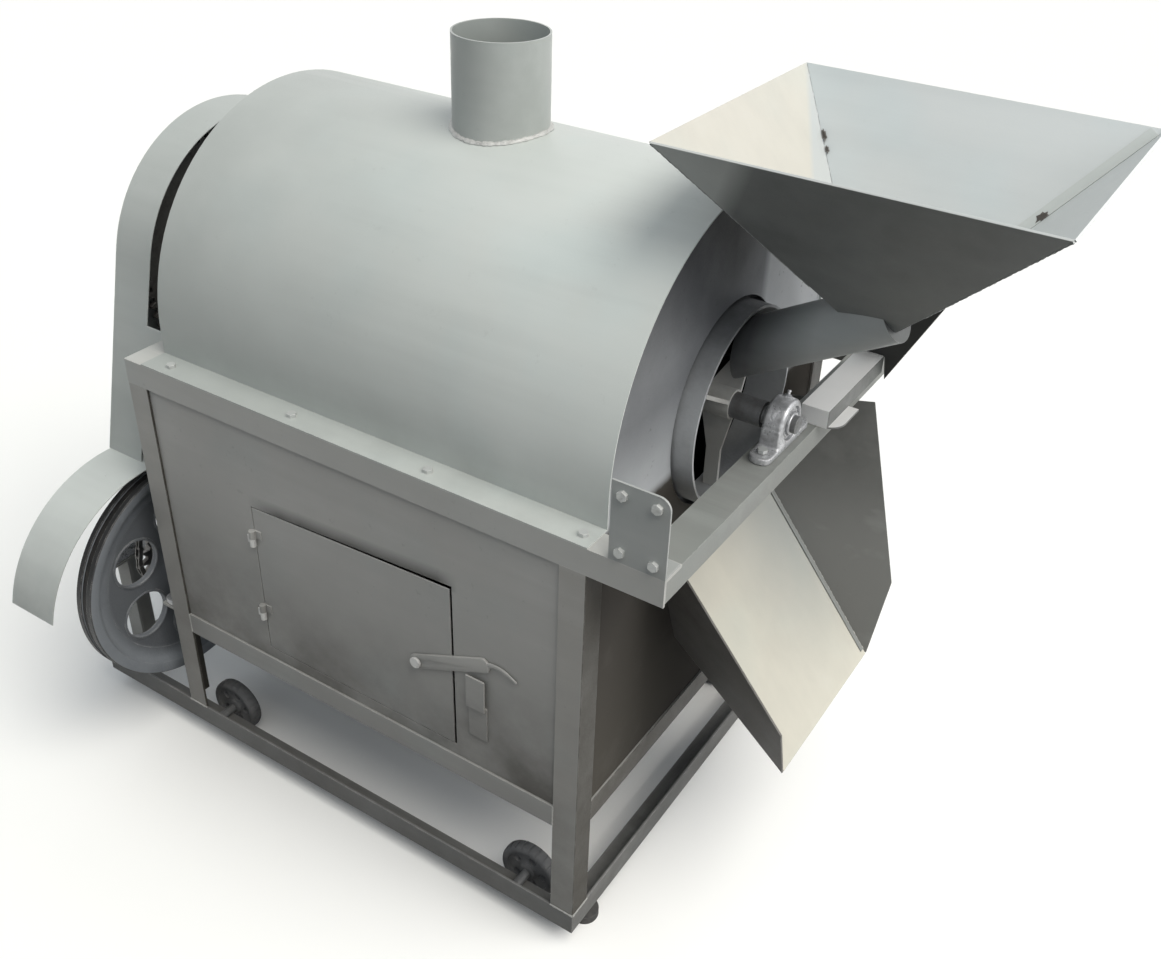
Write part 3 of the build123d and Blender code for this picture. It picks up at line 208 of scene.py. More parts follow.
world = bpy.data.worlds.new("open_sky")
world.use_nodes = True
scene.world = world
sky = world.node_tree
rise = add_node("SeparateXYZ", {"Vector": add_node("TexCoord", tree=sky)["Generated"]})["Z"]
shed = tint(rise, (0.285, 0.30, 0.315), (0.56, 0.60, 0.63))
feed(sky.nodes["Background"].inputs["Color"], tint(seen_rays(sky), shed, (1.0, 1.0, 1.0)))
print("world:", world.name)


# %% Lamps and floor
def lamp(kind, name, towards, energy, **settings):
    """A lamp that shines from one direction."""
    bpy.ops.object.light_add(type=kind)
    made = bpy.context.object
    made.name = name
    made.data.energy = energy
    for label, value in settings.items():
        setattr(made.data, label, value)
    made.rotation_euler = Vector(towards).to_track_quat("Z", "Y").to_euler()
    return made


yard_sun = lamp("SUN", "yard_sun", (0.50, -0.10, 0.86), 2.25, angle=radians(42), color=(1.0, 0.96, 0.885))
camera_side = lamp("SUN", "camera_side", (0.20, -0.90, 0.35), 0.10, angle=radians(60),
                   color=(1.0, 0.99, 0.97))
mouth_side = lamp("AREA", "mouth_side", (0.93, 0.08, 0.36), 12, size=1.2)
mouth_side.location = (x_mouth + 1.5, y_axis + 0.15, z_top + 0.55)
mouth_side.visible_camera = False

bpy.ops.mesh.primitive_plane_add(size=40)
floor = bpy.context.object
floor.name = "floor"
ground, _, surface = fresh_material("pale_ground", 0.0)
feed(surface["Roughness"], 1.0)
feed(surface["Base Color"], tint(seen_rays(ground.node_tree), (0.045, 0.042, 0.038), (0.93, 0.93, 0.92)))
floor.data.materials.append(ground)
print("lit by", yard_sun.name, camera_side.name, mouth_side.name)

# %% [markdown]
# ## Finishes
# Nearly everything is the same satin silver-grey paint over mild steel, so what tells the pieces apart is
# wear and painted light and shade: faint brush strokes and cloudy patches on the hood, soot round the fire,
# a darker band low down, rubbed edges on the rails, and painted shadow and light on the mouth end, the
# hopper and the hood. These effects are shader groups that each finish places with its own values. They read
# Object coordinates, so a stroke stays on its piece when the piece moves.
#
# The strokes group clouds the paint in patches a hand wide, draws faint brush lines along the machine and
# lets a few patches lean to blue-green, as thinned paint does. It also puts out a change of gloss and a
# height for the bump.

# %% Strokes of the brush
COLOR = "NodeSocketColor"
FLOAT = "NodeSocketFloat"
VECTOR = "NodeSocketVector"


def new_group(name, inputs, outputs=(("Color", COLOR), ("Mask", FLOAT))):
    """A shader group that takes a vector, a colour and more, with what goes in and what comes out."""
    group = bpy.data.node_groups.new(name, "ShaderNodeTree")
    group.interface.new_socket("Vector", in_out="INPUT", socket_type=VECTOR)
    for label, kind, value in (("Color", COLOR, (0.5, 0.5, 0.5, 1)), *inputs):
        group.interface.new_socket(label, in_out="INPUT", socket_type=kind).default_value = value
    for label, kind in outputs:
        group.interface.new_socket(label, in_out="OUTPUT", socket_type=kind)
    return group, group.nodes.new("NodeGroupInput").outputs, group.nodes.new("NodeGroupOutput").inputs


strokes, given, result = new_group("paint_strokes", [("Amount", FLOAT, 1.0)],
                                   [("Color", COLOR), ("Gloss", FLOAT), ("Height", FLOAT)])
cloud = noise(given["Vector"], 3.2, 4.0)
brush = noise(stretched(given["Vector"], (1.6, 30.0, 24.0)), 1.0, 3.0, 0.6)
grain = noise(given["Vector"], 420.0, 2.0)
cool = remap(noise(given["Vector"], 5.5, 2.0), 0.52, 0.72, 0.0, 0.30)
shade = combine("ADD", remap(cloud, 0.32, 0.68, -0.6, 0.6), remap(brush, 0.3, 0.7, -0.4, 0.4))
shade = product(shade, given["Amount"])
cooled = tint(1.0, given["Color"], (0.90, 1.0, 1.03), "MULTIPLY")
bright = tint(remap(shade, 0.0, 1.0), tint(cool, given["Color"], cooled), (0.86, 0.88, 0.87))
feed(result["Color"], tint(remap(shade, 0.0, -1.0), bright, (0.14, 0.145, 0.14)))
feed(result["Gloss"], combine("ADD", remap(brush, 0.3, 0.7, -0.07, 0.07),
                              remap(grain, 0.3, 0.7, -0.05, 0.05)))
feed(result["Height"], combine("ADD", product(grain, 0.12), product(cloud, 2.0)))
print("group:", strokes.name)

# %% [markdown]
# Grime lies between two heights, ragged and with a few specks, and works upside down too when the low mark
# is above the high one. On the chute's far wall the same band is painted shadow of the hopper, with dirt.
# Rubbed edges compare the true normal with a rounded one: where they differ there is an edge. The side
# stain darkens what looks one way. On the legs and mid rails it darkens the faces that look towards the
# mouth. As painted shade it darkens the undersides of the hopper, the pipe's faces that look up towards the
# mouth end and the bracket's web.

# %% Grime and painted shade bands, rubbed edges, side stain and painted shade
def lay_over(given, mask, over, result):
    """Put a group's second colour over its first by a mask, and put out both the colour and the mask."""
    feed(result["Color"], tint(mask, given["Color"], given[over]))
    feed(result["Mask"], mask)


grime_and_shade, given, result = new_group("grime_and_shade", [("Dirt", COLOR, (0.07, 0.06, 0.05, 1)), ("Amount", FLOAT, 0.4),
                                           ("Low", FLOAT, 0.0), ("High", FLOAT, 0.5)])
height = add_node("SeparateXYZ", {"Vector": given["Vector"]})["Z"]
band = remap(height, given["Low"], given["High"], 1.0, 0.0, interpolation_type="SMOOTHSTEP")
ragged = remap(noise(given["Vector"], 7.0, 5.0, 0.6), 0.33, 0.68, 0.45, 1.0)
specks = remap(noise(given["Vector"], 60.0, 4.0, 0.7), 0.64, 0.76, 0.0, 0.30)
dirty = combine("MAXIMUM", product(band, ragged, given["Amount"]), product(specks, given["Amount"]))
lay_over(given, dirty, "Dirt", result)

rubbed, given, result = new_group("rubbed_edges", [("Metal", COLOR, (0.62, 0.61, 0.59, 1)),
                                                   ("Amount", FLOAT, 0.5)])
rounded = add_node("Bevel", {"Radius": 2.5 * MM}, rubbed, samples=6)["Normal"]
edge = ramp(rounded, add_node("NewGeometry", tree=rubbed)["Normal"], 0.99, 0.86)
chips = remap(noise(given["Vector"], 45.0, 5.0, 0.7), 0.42, 0.62)
lay_over(given, product(edge, chips, given["Amount"]), "Metal", result)

side_stain_and_shade, given, result = new_group("side_stain_and_shade", [("Stain", COLOR, (0.1, 0.1, 0.1, 1)),
                                                     ("Amount", FLOAT, 0.8), ("Way", VECTOR, (0, 0, -1))])
LOOKS_PAST, LOOKS_FULL = 0.05, 0.45
looks = ramp(add_node("NewGeometry", tree=side_stain_and_shade)["Normal"], given["Way"], LOOKS_PAST, LOOKS_FULL)
smear = remap(noise(given["Vector"], 6.0, 4.0, 0.6), 0.3, 0.7, 0.75, 1.0)
lay_over(given, product(looks, smear, given["Amount"]), "Stain", result)
print("groups:", grime_and_shade.name, rubbed.name, side_stain_and_shade.name)

# %% [markdown]
# A finish chains the groups: strokes first, then soot, dust or painted shade, then rubbed edges, into one
# Principled shader. Paint stays non-metallic: the aluminium flake in it only softens the gloss.

# %% How a painted finish is put together
smoke = (0.055, 0.050, 0.044)
dust = (0.075, 0.070, 0.062)


def place_group(group, vector, **values):
    return add_node("Group", {"Vector": vector, **values}, node_tree=group)


def bump(surface, height, distance, strength):
    normal = add_node("Bump", {"Strength": strength, "Distance": distance, "Height": height})["Normal"]
    feed(surface["Normal"], normal)


def paint(name, color, dirt, low, high, dirt_color=dust, stroke=0.14, edges=0.35, roughness=0.45,
          specular=0.28, side=None, upper=None, stain=None):
    """Satin paint on steel: strokes, dirt between two heights, an upper band of dirt and painted shade, a
    darkened side, which on some pieces is painted shade, a mark of its own, which may be a stain, painted
    shade or painted light, and rubbed edges."""
    material, vector, surface = fresh_material(name, specular)
    coat = place_group(strokes, vector, Color=color, Amount=stroke)
    dusty = place_group(grime_and_shade, vector, Color=coat["Color"], Dirt=dirt_color, Amount=dirt, Low=low, High=high)
    layer = dusty["Color"]
    for group, labels, values in ((grime_and_shade, ("Dirt", "Amount", "Low", "High"), upper),
                                  (side_stain_and_shade, ("Way", "Stain", "Amount"), side)):
        if values:
            layer = place_group(group, vector, Color=layer, **dict(zip(labels, values)))["Color"]
    if stain:
        layer = stain(vector, layer)
    feed(surface["Base Color"], place_group(rubbed, vector, Color=layer, Amount=edges)["Color"])
    gloss = combine("ADD", coat["Gloss"], roughness)
    feed(surface["Roughness"], combine("ADD", gloss, product(dusty["Mask"], 0.35)))
    bump(surface, coat["Height"], 1.2 * MM, 0.5)
    return material


print("paint helper ready")

# %% [markdown]
# Some stains belong to one piece, and several of these marks are painted light and shade. Each is a mask
# that ramps along a direction: painted shadow on the far side of the drum's arms, a pipe that is darker
# towards its lower end, a collar darker towards its top, the hopper's painted shadow high on the mouth
# plate, painted shade towards the drive end of the hood and on the chimney's drive-end side, a painted
# cool shadow where the hopper's far sheet shades the drum-side sheet, a painted cool reflection where the
# chute's far wall throws its light back onto the slide, and painted light that the hood throws back onto
# the hopper's near sheet. Smoke also leaks through the gap over the fire door and has darkened the sheet
# above it, and a painted shadow of the bowed sheet lies there too: there the direction leans with the
# door's top edge.

# %% Stains that ramp along a direction
def shaded_by(color, amount, *ramps, facing=None, breaks=9.0):
    """A stain, painted shade or painted light of one colour where all of its ramps are full, on faces that look
    one way if that is given.
    """
    def stain(vector, under):
        mask = remap(noise(vector, breaks, 4.0), 0.3, 0.7, 0.8 * amount, amount)
        mask = product(mask, *(ramp(vector, *places) for places in ramps))
        if facing:
            normal = add_node("NewGeometry", tree=vector.id_data)["Normal"]
            mask = product(mask, ramp(normal, facing, LOOKS_PAST, LOOKS_FULL))
        return tint(mask, under, color)
    return stain


def in_turn(*stains):
    """Several marks, one over the other."""
    def stain(vector, under):
        for layer in stains:
            under = layer(vector, under)
        return under
    return stain


along_x, along_y, along_z = (1, 0, 0), (0, 1, 0), (0, 0, 1)
# Painted shadow: the drum's arms darken on their far side, where they lie in shade.
arm_painted_shadow = shaded_by((0.05, 0.05, 0.056), 0.9, (along_y, y_axis + 0.02, y_axis + 0.06))
# The pipe is darker towards its lower end, where it goes into the drum.
pipe_darker_low_end = shaded_by((0.035, 0.036, 0.040), 0.95, (along_x, x_mouth + 0.125, x_mouth + 0.035))
# Painted shadow of the hopper on the mouth plate: a mid shade from the top rail up and a dark shadow higher, only
# on the near side of where the lit patch begins.
hopper_shadow_side = (along_y, y_axis + 0.10, y_axis + 0.08)
mouth_painted_shade = shaded_by((0.16, 0.166, 0.176), 1.0, (along_z, z_top, z_top + 0.12), hopper_shadow_side)
mouth_painted_shadow = shaded_by((0.035, 0.037, 0.042), 1.0, (along_z, z_top + 0.17, z_top + 0.30), hopper_shadow_side)
# The collar is darker towards its top.
collar_darker_top = shaded_by((0.05, 0.053, 0.058), 0.95, (along_z, z_top + 0.05, z_top + 0.22))
plate_dust = shaded_by((0.095, 0.088, 0.075), 0.85, (along_z, 0.62, 0.36),
                       (along_y, y_near + 0.30, y_near + 0.02))
# Painted shade: the hood darkens towards its drive end, where the sheen of the light falls off.
hood_painted_shade = shaded_by((0.36, 0.385, 0.372), 0.85, (along_x, x_mouth - 0.15, x_mouth - 0.75))
# Painted shade: the chimney darkens on its drive-end side, away from the light.
chimney_painted_shade = shaded_by((0.29, 0.31, 0.30), 0.8, (along_x, x_mouth - 0.36, x_mouth - 0.47))
# Painted reflection: a cooler tone on the slide towards the far side, where the chute's far wall throws its light
# back.
slide_painted_reflection = shaded_by((0.29, 0.307, 0.302), 0.85, (along_y, y_axis - 0.05, y_axis + 0.12),
                       (along_z, z_top - 0.42, z_top - 0.24))
# Painted shadow: a cool tone on the drum-side sheet next to its corner with the far sheet, which shades it.
cool_way, cool_edge = (0, 0.766, -1), 0.766 * y_axis - z_top - 0.293
painted_cool_shadow = shaded_by((0.50, 0.53, 0.54), 0.9, (cool_way, cool_edge - 0.004, cool_edge + 0.008))
# Painted light: the left end of the hopper's near sheet is lightened where the hood throws light back onto it.
lit_way, lit_edge = (1, 0, -0.6), x_mouth - 0.6 * z_top - 0.187
painted_bounce_light = shaded_by((0.60, 0.62, 0.605), 1.0, (lit_way, lit_edge + 0.016, lit_edge - 0.016),
                       facing=(0, -1, 0))
door_low, door_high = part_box("fire_door")
door_slope = 21.0 / 377.0
over_door, door_edge = (-door_slope, 0, 1), door_high.z - door_slope * door_high.x
# Soot and painted shadow over the fire door: a dark band above the door's top edge, where the bowed sheet shades
# the gap.
soot_and_shadow_over_door = shaded_by((0.018, 0.017, 0.016), 1.0, (over_door, door_edge + 0.030, door_edge + 0.006),
                        (over_door, door_edge - 0.004, door_edge), (along_x, door_low.x, door_low.x + 0.06),
                        (along_x, door_high.x + 0.014, door_high.x - 0.02), breaks=16.0)
print("stains ready")

# %% Painted finishes
hood_paint = paint("hood_silver_paint", (0.61, 0.645, 0.622), 0.35, 0.74, 0.90, stroke=0.13, roughness=0.38,
                   specular=0.5, stain=hood_painted_shade)
chimney_paint = paint("chimney_silver_paint", (0.45, 0.477, 0.46), 0.2, 1.0, 1.1, stroke=0.13, roughness=0.38,
                      specular=0.5, stain=chimney_painted_shade)
cover_paint = paint("cover_silver_paint", (0.45, 0.478, 0.464), 0.30, 0.40, 0.80, stroke=0.13)
fender_paint = paint("fender_pale_paint", (0.54, 0.572, 0.556), 0.45, 0.34, 0.55, stroke=0.12)
panel_paint = paint("firebox_panel_paint", (0.425, 0.421, 0.405), 0.95, 0.22, 0.62, stain=soot_and_shadow_over_door)
back_panel_paint = paint("back_panel_paint", (0.425, 0.421, 0.405), 1.05, 0.20, 0.60)
door_paint = paint("fire_door_paint", (0.40, 0.397, 0.383), 0.85, 0.22, 0.58)
leg_paint = paint("leg_paint", (0.375, 0.366, 0.346), 0.60, 0.05, 0.60, edges=0.55,
                  side=(along_x, (0.055, 0.051, 0.044), 1.4))
frame_paint = paint("angle_iron_paint", (0.47, 0.47, 0.45), 0.45, 0.05, 0.50, edges=0.9)
mid_rail_paint = paint("mid_rail_paint", (0.32, 0.318, 0.307), 0.45, 0.10, 0.40, edges=1.0,
                       side=(along_x, (0.065, 0.060, 0.052), 1.4))
base_paint = paint("base_rail_paint", (0.20, 0.202, 0.20), 0.70, 0.02, 0.20, stroke=0.16, edges=0.6)
beam_paint = paint("cross_beam_paint", (0.27, 0.277, 0.262), 0.30, 0.60, 0.77, stroke=0.16)
plate_paint = paint("corner_plate_paint", (0.40, 0.414, 0.405), 0.35, 0.70, 0.80)
chute_near_paint = paint("chute_near_paint", (0.20, 0.192, 0.182), 0.85, 0.60, 0.40, smoke, roughness=0.5)
# The upper band on the chute's far wall is painted shadow of the hopper, with some dirt.
chute_far_paint = paint("chute_far_paint", (0.145, 0.147, 0.14), 0.25, 0.28, 0.55, roughness=0.5,
                        upper=((0.032, 0.032, 0.030), 0.95, z_top - 0.04, z_top - 0.27))
# The slide's warm cream tone is painted warm light from the mouth end.
slide_warm_lit = paint("chute_slide_warm_lit", (0.56, 0.54, 0.47), 0.15, 0.62, 0.35, (0.27, 0.25, 0.21), 0.10,
                    stain=slide_painted_reflection)
# The pipe's faces that look up towards the mouth end carry painted shadow under the hopper.
pipe_paint = paint("feed_pipe_paint", (0.43, 0.445, 0.44), 0.35, 0.84, 0.98, smoke, 0.16, stain=pipe_darker_low_end,
                   side=((0.875, 0, 0.485), (0.03, 0.03, 0.03), 0.9))
# The bracket's web, which looks towards the mouth, is darkened by painted shade.
bracket_paint = paint("bracket_pale_paint", (0.95, 0.945, 0.93), 0.10, 0.70, 0.80, stroke=0.05, edges=0.2,
                      side=(along_x, (0.085, 0.09, 0.086), 1.2))
# The support is painted near black: painted shade that stands for the deep shadow under the hopper.
support_shade_paint = paint("support_painted_shade", (0.045, 0.046, 0.046), 0.15, 0.70, 1.1, (0.10, 0.095, 0.09), 0.08,
                    specular=0.15)
motor_paint = paint("motor_enamel", (0.20, 0.245, 0.285), 0.45, 0.03, 0.25, stroke=0.15, roughness=0.38)
print("paints:", len(bpy.data.materials))

# %% [markdown]
# The hopper is pale inside, where nuts polish it, and every face of it that looks down is darkened by
# painted shade. The plate round the drum's mouth is one sheet with two lives: above the top rail it is
# painted, and a painted shadow of the hopper darkens it towards the hood; below it the smoke of the fire
# has turned it brown.

# %% Hopper and mouth plate
# Every hopper sheet's faces that look down carry painted shade.
def hopper_paint(name, color, own=None):
    return paint(name, color, 0.15, 0.95, 1.05, (0.25, 0.24, 0.22), 0.10, roughness=0.46,
                 side=((0, 0, -1), (0.15, 0.157, 0.154), 0.92), stain=own)


# The drum-side sheet's warm cream tone is painted warm light, where it faces the mouth end.
hopper_warm_lit = hopper_paint("hopper_warm_lit_side", (0.60, 0.578, 0.522), painted_cool_shadow)
hopper_blue = hopper_paint("hopper_blue_grey_side", (0.56, 0.588, 0.592))
hopper_grey = hopper_paint("hopper_grey_side", (0.62, 0.645, 0.64))
hopper_near = hopper_paint("hopper_near_side", (0.55, 0.57, 0.565), painted_bounce_light)
hopper_strip = hopper_paint("hopper_strip_side", (0.50, 0.53, 0.52))
chute_strip = hopper_paint("chute_strip_side", (0.21, 0.219, 0.213))
mouth_plate_paint = paint("mouth_plate_paint", (0.40, 0.413, 0.427), 2.4, z_top - 0.030, z_top + 0.004, smoke,
                          edges=0.1, roughness=0.5, stain=in_turn(mouth_painted_shade, mouth_painted_shadow, plate_dust))
print("hopper and mouth plate painted")

# %% [markdown]
# What has no paint is bare: turned shafts, cast housings, zinc on bolts, burnt iron in the fire. One recipe
# with other colours makes them all, blotches of stain on a metal that catches the light. Rubber is the
# opposite, a dull base with chalky dust. The large pulley has marks of its own: black from the belt round
# its rim, and a darker web.

# %% Bare metal and rubber
def bare_metal(name, color, stain, roughness, blotch, metallic, cut=0.45, pits=0.6, specular=0.4, mark=None):
    material, vector, surface = fresh_material(name, specular)
    blot = remap(noise(vector, blotch, 6.0, 0.65), cut, cut + 0.25)
    fine = noise(vector, 260.0, 3.0)
    dull = tint(product(blot, 0.75), color, stain)
    if mark:
        dull = mark(vector, dull)
    feed(surface["Base Color"], place_group(rubbed, vector, Color=dull, Amount=0.5)["Color"])
    feed(surface["Roughness"], combine("ADD", remap(fine, 0.3, 0.7, -0.07, 0.07),
                                       remap(blot, 0.0, 1.0, roughness, roughness + 0.22)))
    feed(surface["Metallic"], remap(blot, 0.0, 1.0, metallic, metallic * 0.55))
    bump(surface, combine("ADD", fine, blot), pits * MM, 0.6)
    return material


def rubber(name, color, chalk_color, roughness=0.72):
    material, vector, surface = fresh_material(name, 0.3)
    chalk = remap(noise(vector, 38.0, 5.0, 0.65), 0.42, 0.72, 0.0, 0.55)
    fine = noise(vector, 520.0, 2.0)
    feed(surface["Base Color"], tint(chalk, color, chalk_color))
    feed(surface["Roughness"], remap(fine, 0.3, 0.7, roughness - 0.06, roughness + 0.08))
    bump(surface, fine, 0.5 * MM, 0.5)
    return material


pulley_low, pulley_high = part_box("large_pulley")
pulley_rim = (pulley_high.z - pulley_low.z) / 2


def pulley_marks(vector, under):
    shifted = add_node("VectorMath", {0: vector, 1: (0, *counter_axis)}, operation="SUBTRACT")["Vector"]
    radius = add_node("VectorMath", {0: stretched(shifted, (0, 1, 1))}, operation="LENGTH")["Value"]
    web = remap(radius, pulley_rim - 0.030, pulley_rim - 0.050, 0.0, 0.8)
    black = remap(radius, pulley_rim - 0.0022, pulley_rim - 0.0012, 0.0, 0.95)
    return tint(black, tint(web, under, (0.10, 0.107, 0.117)), (0.018, 0.018, 0.019))


# %% Bare finishes
soot = bare_metal("firebox_soot", (0.085, 0.078, 0.072), (0.030, 0.027, 0.024), 0.75, 9, 0.0, pits=2.0,
                  specular=0.1)
drum_steel = bare_metal("drum_dull_steel", (0.48, 0.495, 0.51), (0.30, 0.305, 0.31), 0.45, 9, 0.2,
                        mark=collar_darker_top)
spider_steel = bare_metal("spider_plate_steel", (0.56, 0.555, 0.53), (0.40, 0.39, 0.36), 0.5, 12, 0.1, 0.5,
                          mark=arm_painted_shadow)
dark_drum = bare_metal("drum_inside_burnt_steel", (0.034, 0.034, 0.036), (0.020, 0.019, 0.018), 0.6, 7, 0.0,
                       specular=0.15)
shaft_steel = bare_metal("turned_shaft_steel", (0.20, 0.205, 0.21), (0.09, 0.085, 0.08), 0.42, 20, 0.3)
bearing_metal = bare_metal("bearing_bright_metal", (0.60, 0.605, 0.62), (0.17, 0.17, 0.17), 0.30, 46, 0.55,
                           0.47)
hinge_steel = bare_metal("hinge_bright_steel", (0.58, 0.58, 0.57), (0.40, 0.39, 0.37), 0.45, 60, 0.2, 0.5)
weld_metal = bare_metal("weld_metal", (0.60, 0.60, 0.585), (0.34, 0.34, 0.33), 0.45, 90, 0.2, 0.5, 0.8)
zinc = bare_metal("bolt_silver", (0.52, 0.535, 0.525), (0.30, 0.30, 0.285), 0.40, 60, 0.25, 0.5)
oiled_steel = bare_metal("oiled_chain_steel", (0.16, 0.155, 0.148), (0.05, 0.045, 0.04), 0.36, 40, 0.6)
pulley_iron = bare_metal("pulley_cast_iron", (0.25, 0.27, 0.295), (0.19, 0.205, 0.225), 0.46, 10, 0.05, 0.42,
                         0.8, mark=pulley_marks)
small_pulley_iron = bare_metal("motor_pulley_iron", (0.30, 0.315, 0.34), (0.16, 0.165, 0.175), 0.46, 20, 0.85)
grate_iron = bare_metal("grate_burnt_iron", (0.13, 0.11, 0.10), (0.20, 0.09, 0.05), 0.62, 30, 0.3, 0.5, 1.5)
tyre_rubber = rubber("wheel_rubber", (0.13, 0.132, 0.135), (0.24, 0.235, 0.23))
belt_rubber = rubber("belt_rubber", (0.022, 0.022, 0.023), (0.07, 0.065, 0.06), 0.6)
foot_rubber = rubber("foot_rubber", (0.06, 0.06, 0.06), (0.16, 0.15, 0.14))
print("finishes:", len(bpy.data.materials))

# %% [markdown]
# ## Hand tools
# Every piece below is shaped by the same few moves: select one thing, work on it in edit mode, put a
# modifier on and apply it, then set its place into its mesh. A finished piece gets smooth shading up to an
# angle, a finish, and the body that carries it.

# %% Working on one piece
def work_on(*pieces):
    """Select these pieces alone, the first one active."""
    bpy.ops.object.select_all(action="DESELECT")
    for piece in pieces:
        piece.select_set(True)
    bpy.context.view_layer.objects.active = pieces[0]


def open_mesh(piece, kind="VERT"):
    work_on(piece)
    bpy.ops.object.mode_set(mode="EDIT")
    bpy.ops.mesh.select_mode(type=kind)
    bpy.ops.mesh.select_all(action="SELECT")


def close_mesh():
    bpy.ops.object.mode_set(mode="OBJECT")


def pick(piece, kind, test):
    """Open a piece with only those of its edges or faces selected that pass a test."""
    open_mesh(piece, kind)
    bpy.ops.mesh.select_all(action="DESELECT")
    close_mesh()
    for item in piece.data.edges if kind == "EDGE" else piece.data.polygons:
        item.select = test(item)
    bpy.ops.object.mode_set(mode="EDIT")


def round_off(piece, test, **amounts):
    """Bevel the edges whose two ends pass a test."""
    spots = [vertex.co.copy() for vertex in piece.data.vertices]
    pick(piece, "EDGE", lambda line: test(*(spots[end] for end in line.vertices)))
    bpy.ops.mesh.bevel(**amounts)
    close_mesh()


def modify(piece, kind, **settings):
    """Put a modifier on a piece, set it and apply it."""
    work_on(piece)
    modifier = piece.modifiers.new(kind.lower(), kind)
    for label, value in settings.items():
        setattr(modifier, label, value)
    bpy.ops.object.modifier_apply(modifier=modifier.name)


def ease_edges(piece, width, segments=2, angle=40):
    modify(piece, "BEVEL", width=width, segments=segments, limit_method="ANGLE", angle_limit=radians(angle))


def cut_away(piece, cutter):
    modify(piece, "BOOLEAN", operation="DIFFERENCE", solver="EXACT", object=cutter)
    bpy.data.objects.remove(cutter)


print("mesh tools ready")


# %% Placing and finishing a piece
def set_place():
    bpy.ops.object.transform_apply(location=True, rotation=True, scale=True)


def linked(name, data):
    piece = bpy.data.objects.new(name, data)
    scene.collection.objects.link(piece)
    return piece


def joined(pieces):
    work_on(*pieces)
    bpy.ops.object.join()
    return bpy.context.object


def copied(piece, matrix):
    """A copy with a mesh of its own, moved in its mesh."""
    double = linked(piece.name, piece.data.copy())
    double.data.transform(matrix)
    return double


def stand(piece, axis, place):
    """Turn a piece that was modelled along Z to another axis, and set it in its place."""
    piece.rotation_mode = "QUATERNION"
    piece.rotation_quaternion = Vector((0, 0, 1)).rotation_difference(Vector(axis))
    piece.location = place
    work_on(piece)
    set_place()
    return piece


def start_box(place, size):
    """A box to start from, at its size and place."""
    bpy.ops.object.select_all(action="DESELECT")
    bpy.ops.mesh.primitive_cube_add(size=1, location=place, scale=size)
    set_place()
    return bpy.context.object


def finish_piece(piece, name, finish, node=None, crease=40):
    """Name, dress and shade a piece that stands for a node, or else one that is fixed to the frame."""
    body = body_of[node] if node else "frame"
    piece.name = name
    piece.data.name = name
    piece.data.materials.clear()
    piece.data.materials.append(finish)
    work_on(piece)
    bpy.ops.object.shade_smooth_by_angle(angle=radians(crease))
    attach(piece, body)
    if node:
        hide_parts(node)
    print(name, len(piece.data.polygons), "faces on", body)


print("placing tools ready")

# %% [markdown]
# ## Sheet, bar and angle iron
# A solid from the frame has edges as sharp as a drawing. Rolled bar and cut sheet don't: a radius of half a
# millimetre catches a line of light along every rail. A copy of each solid has its doubles merged and its
# flat faces joined, and then a bevel rounds what is sharp. Weighted normals keep the big faces flat. One
# table says which finish each solid wears and by how many millimetres its edges are rounded. Those with no
# rounding keep their own mesh and only change their finish.

# %% Round the edges and dress the solids
WELD_DOUBLES = 0.01 * MM


def worked(node, finish, rounding):
    piece = linked(node, nodes[node].data.copy())
    work_on(piece)
    bpy.ops.mesh.customdata_custom_splitnormals_clear()
    open_mesh(piece)
    bpy.ops.mesh.remove_doubles(threshold=WELD_DOUBLES)
    bpy.ops.mesh.dissolve_limited(angle_limit=radians(0.3))
    close_mesh()
    ease_edges(piece, rounding, angle=38)
    finish_piece(piece, node + "_worked", finish, node, crease=50)
    modify(piece, "WEIGHTED_NORMAL", keep_sharp=True)


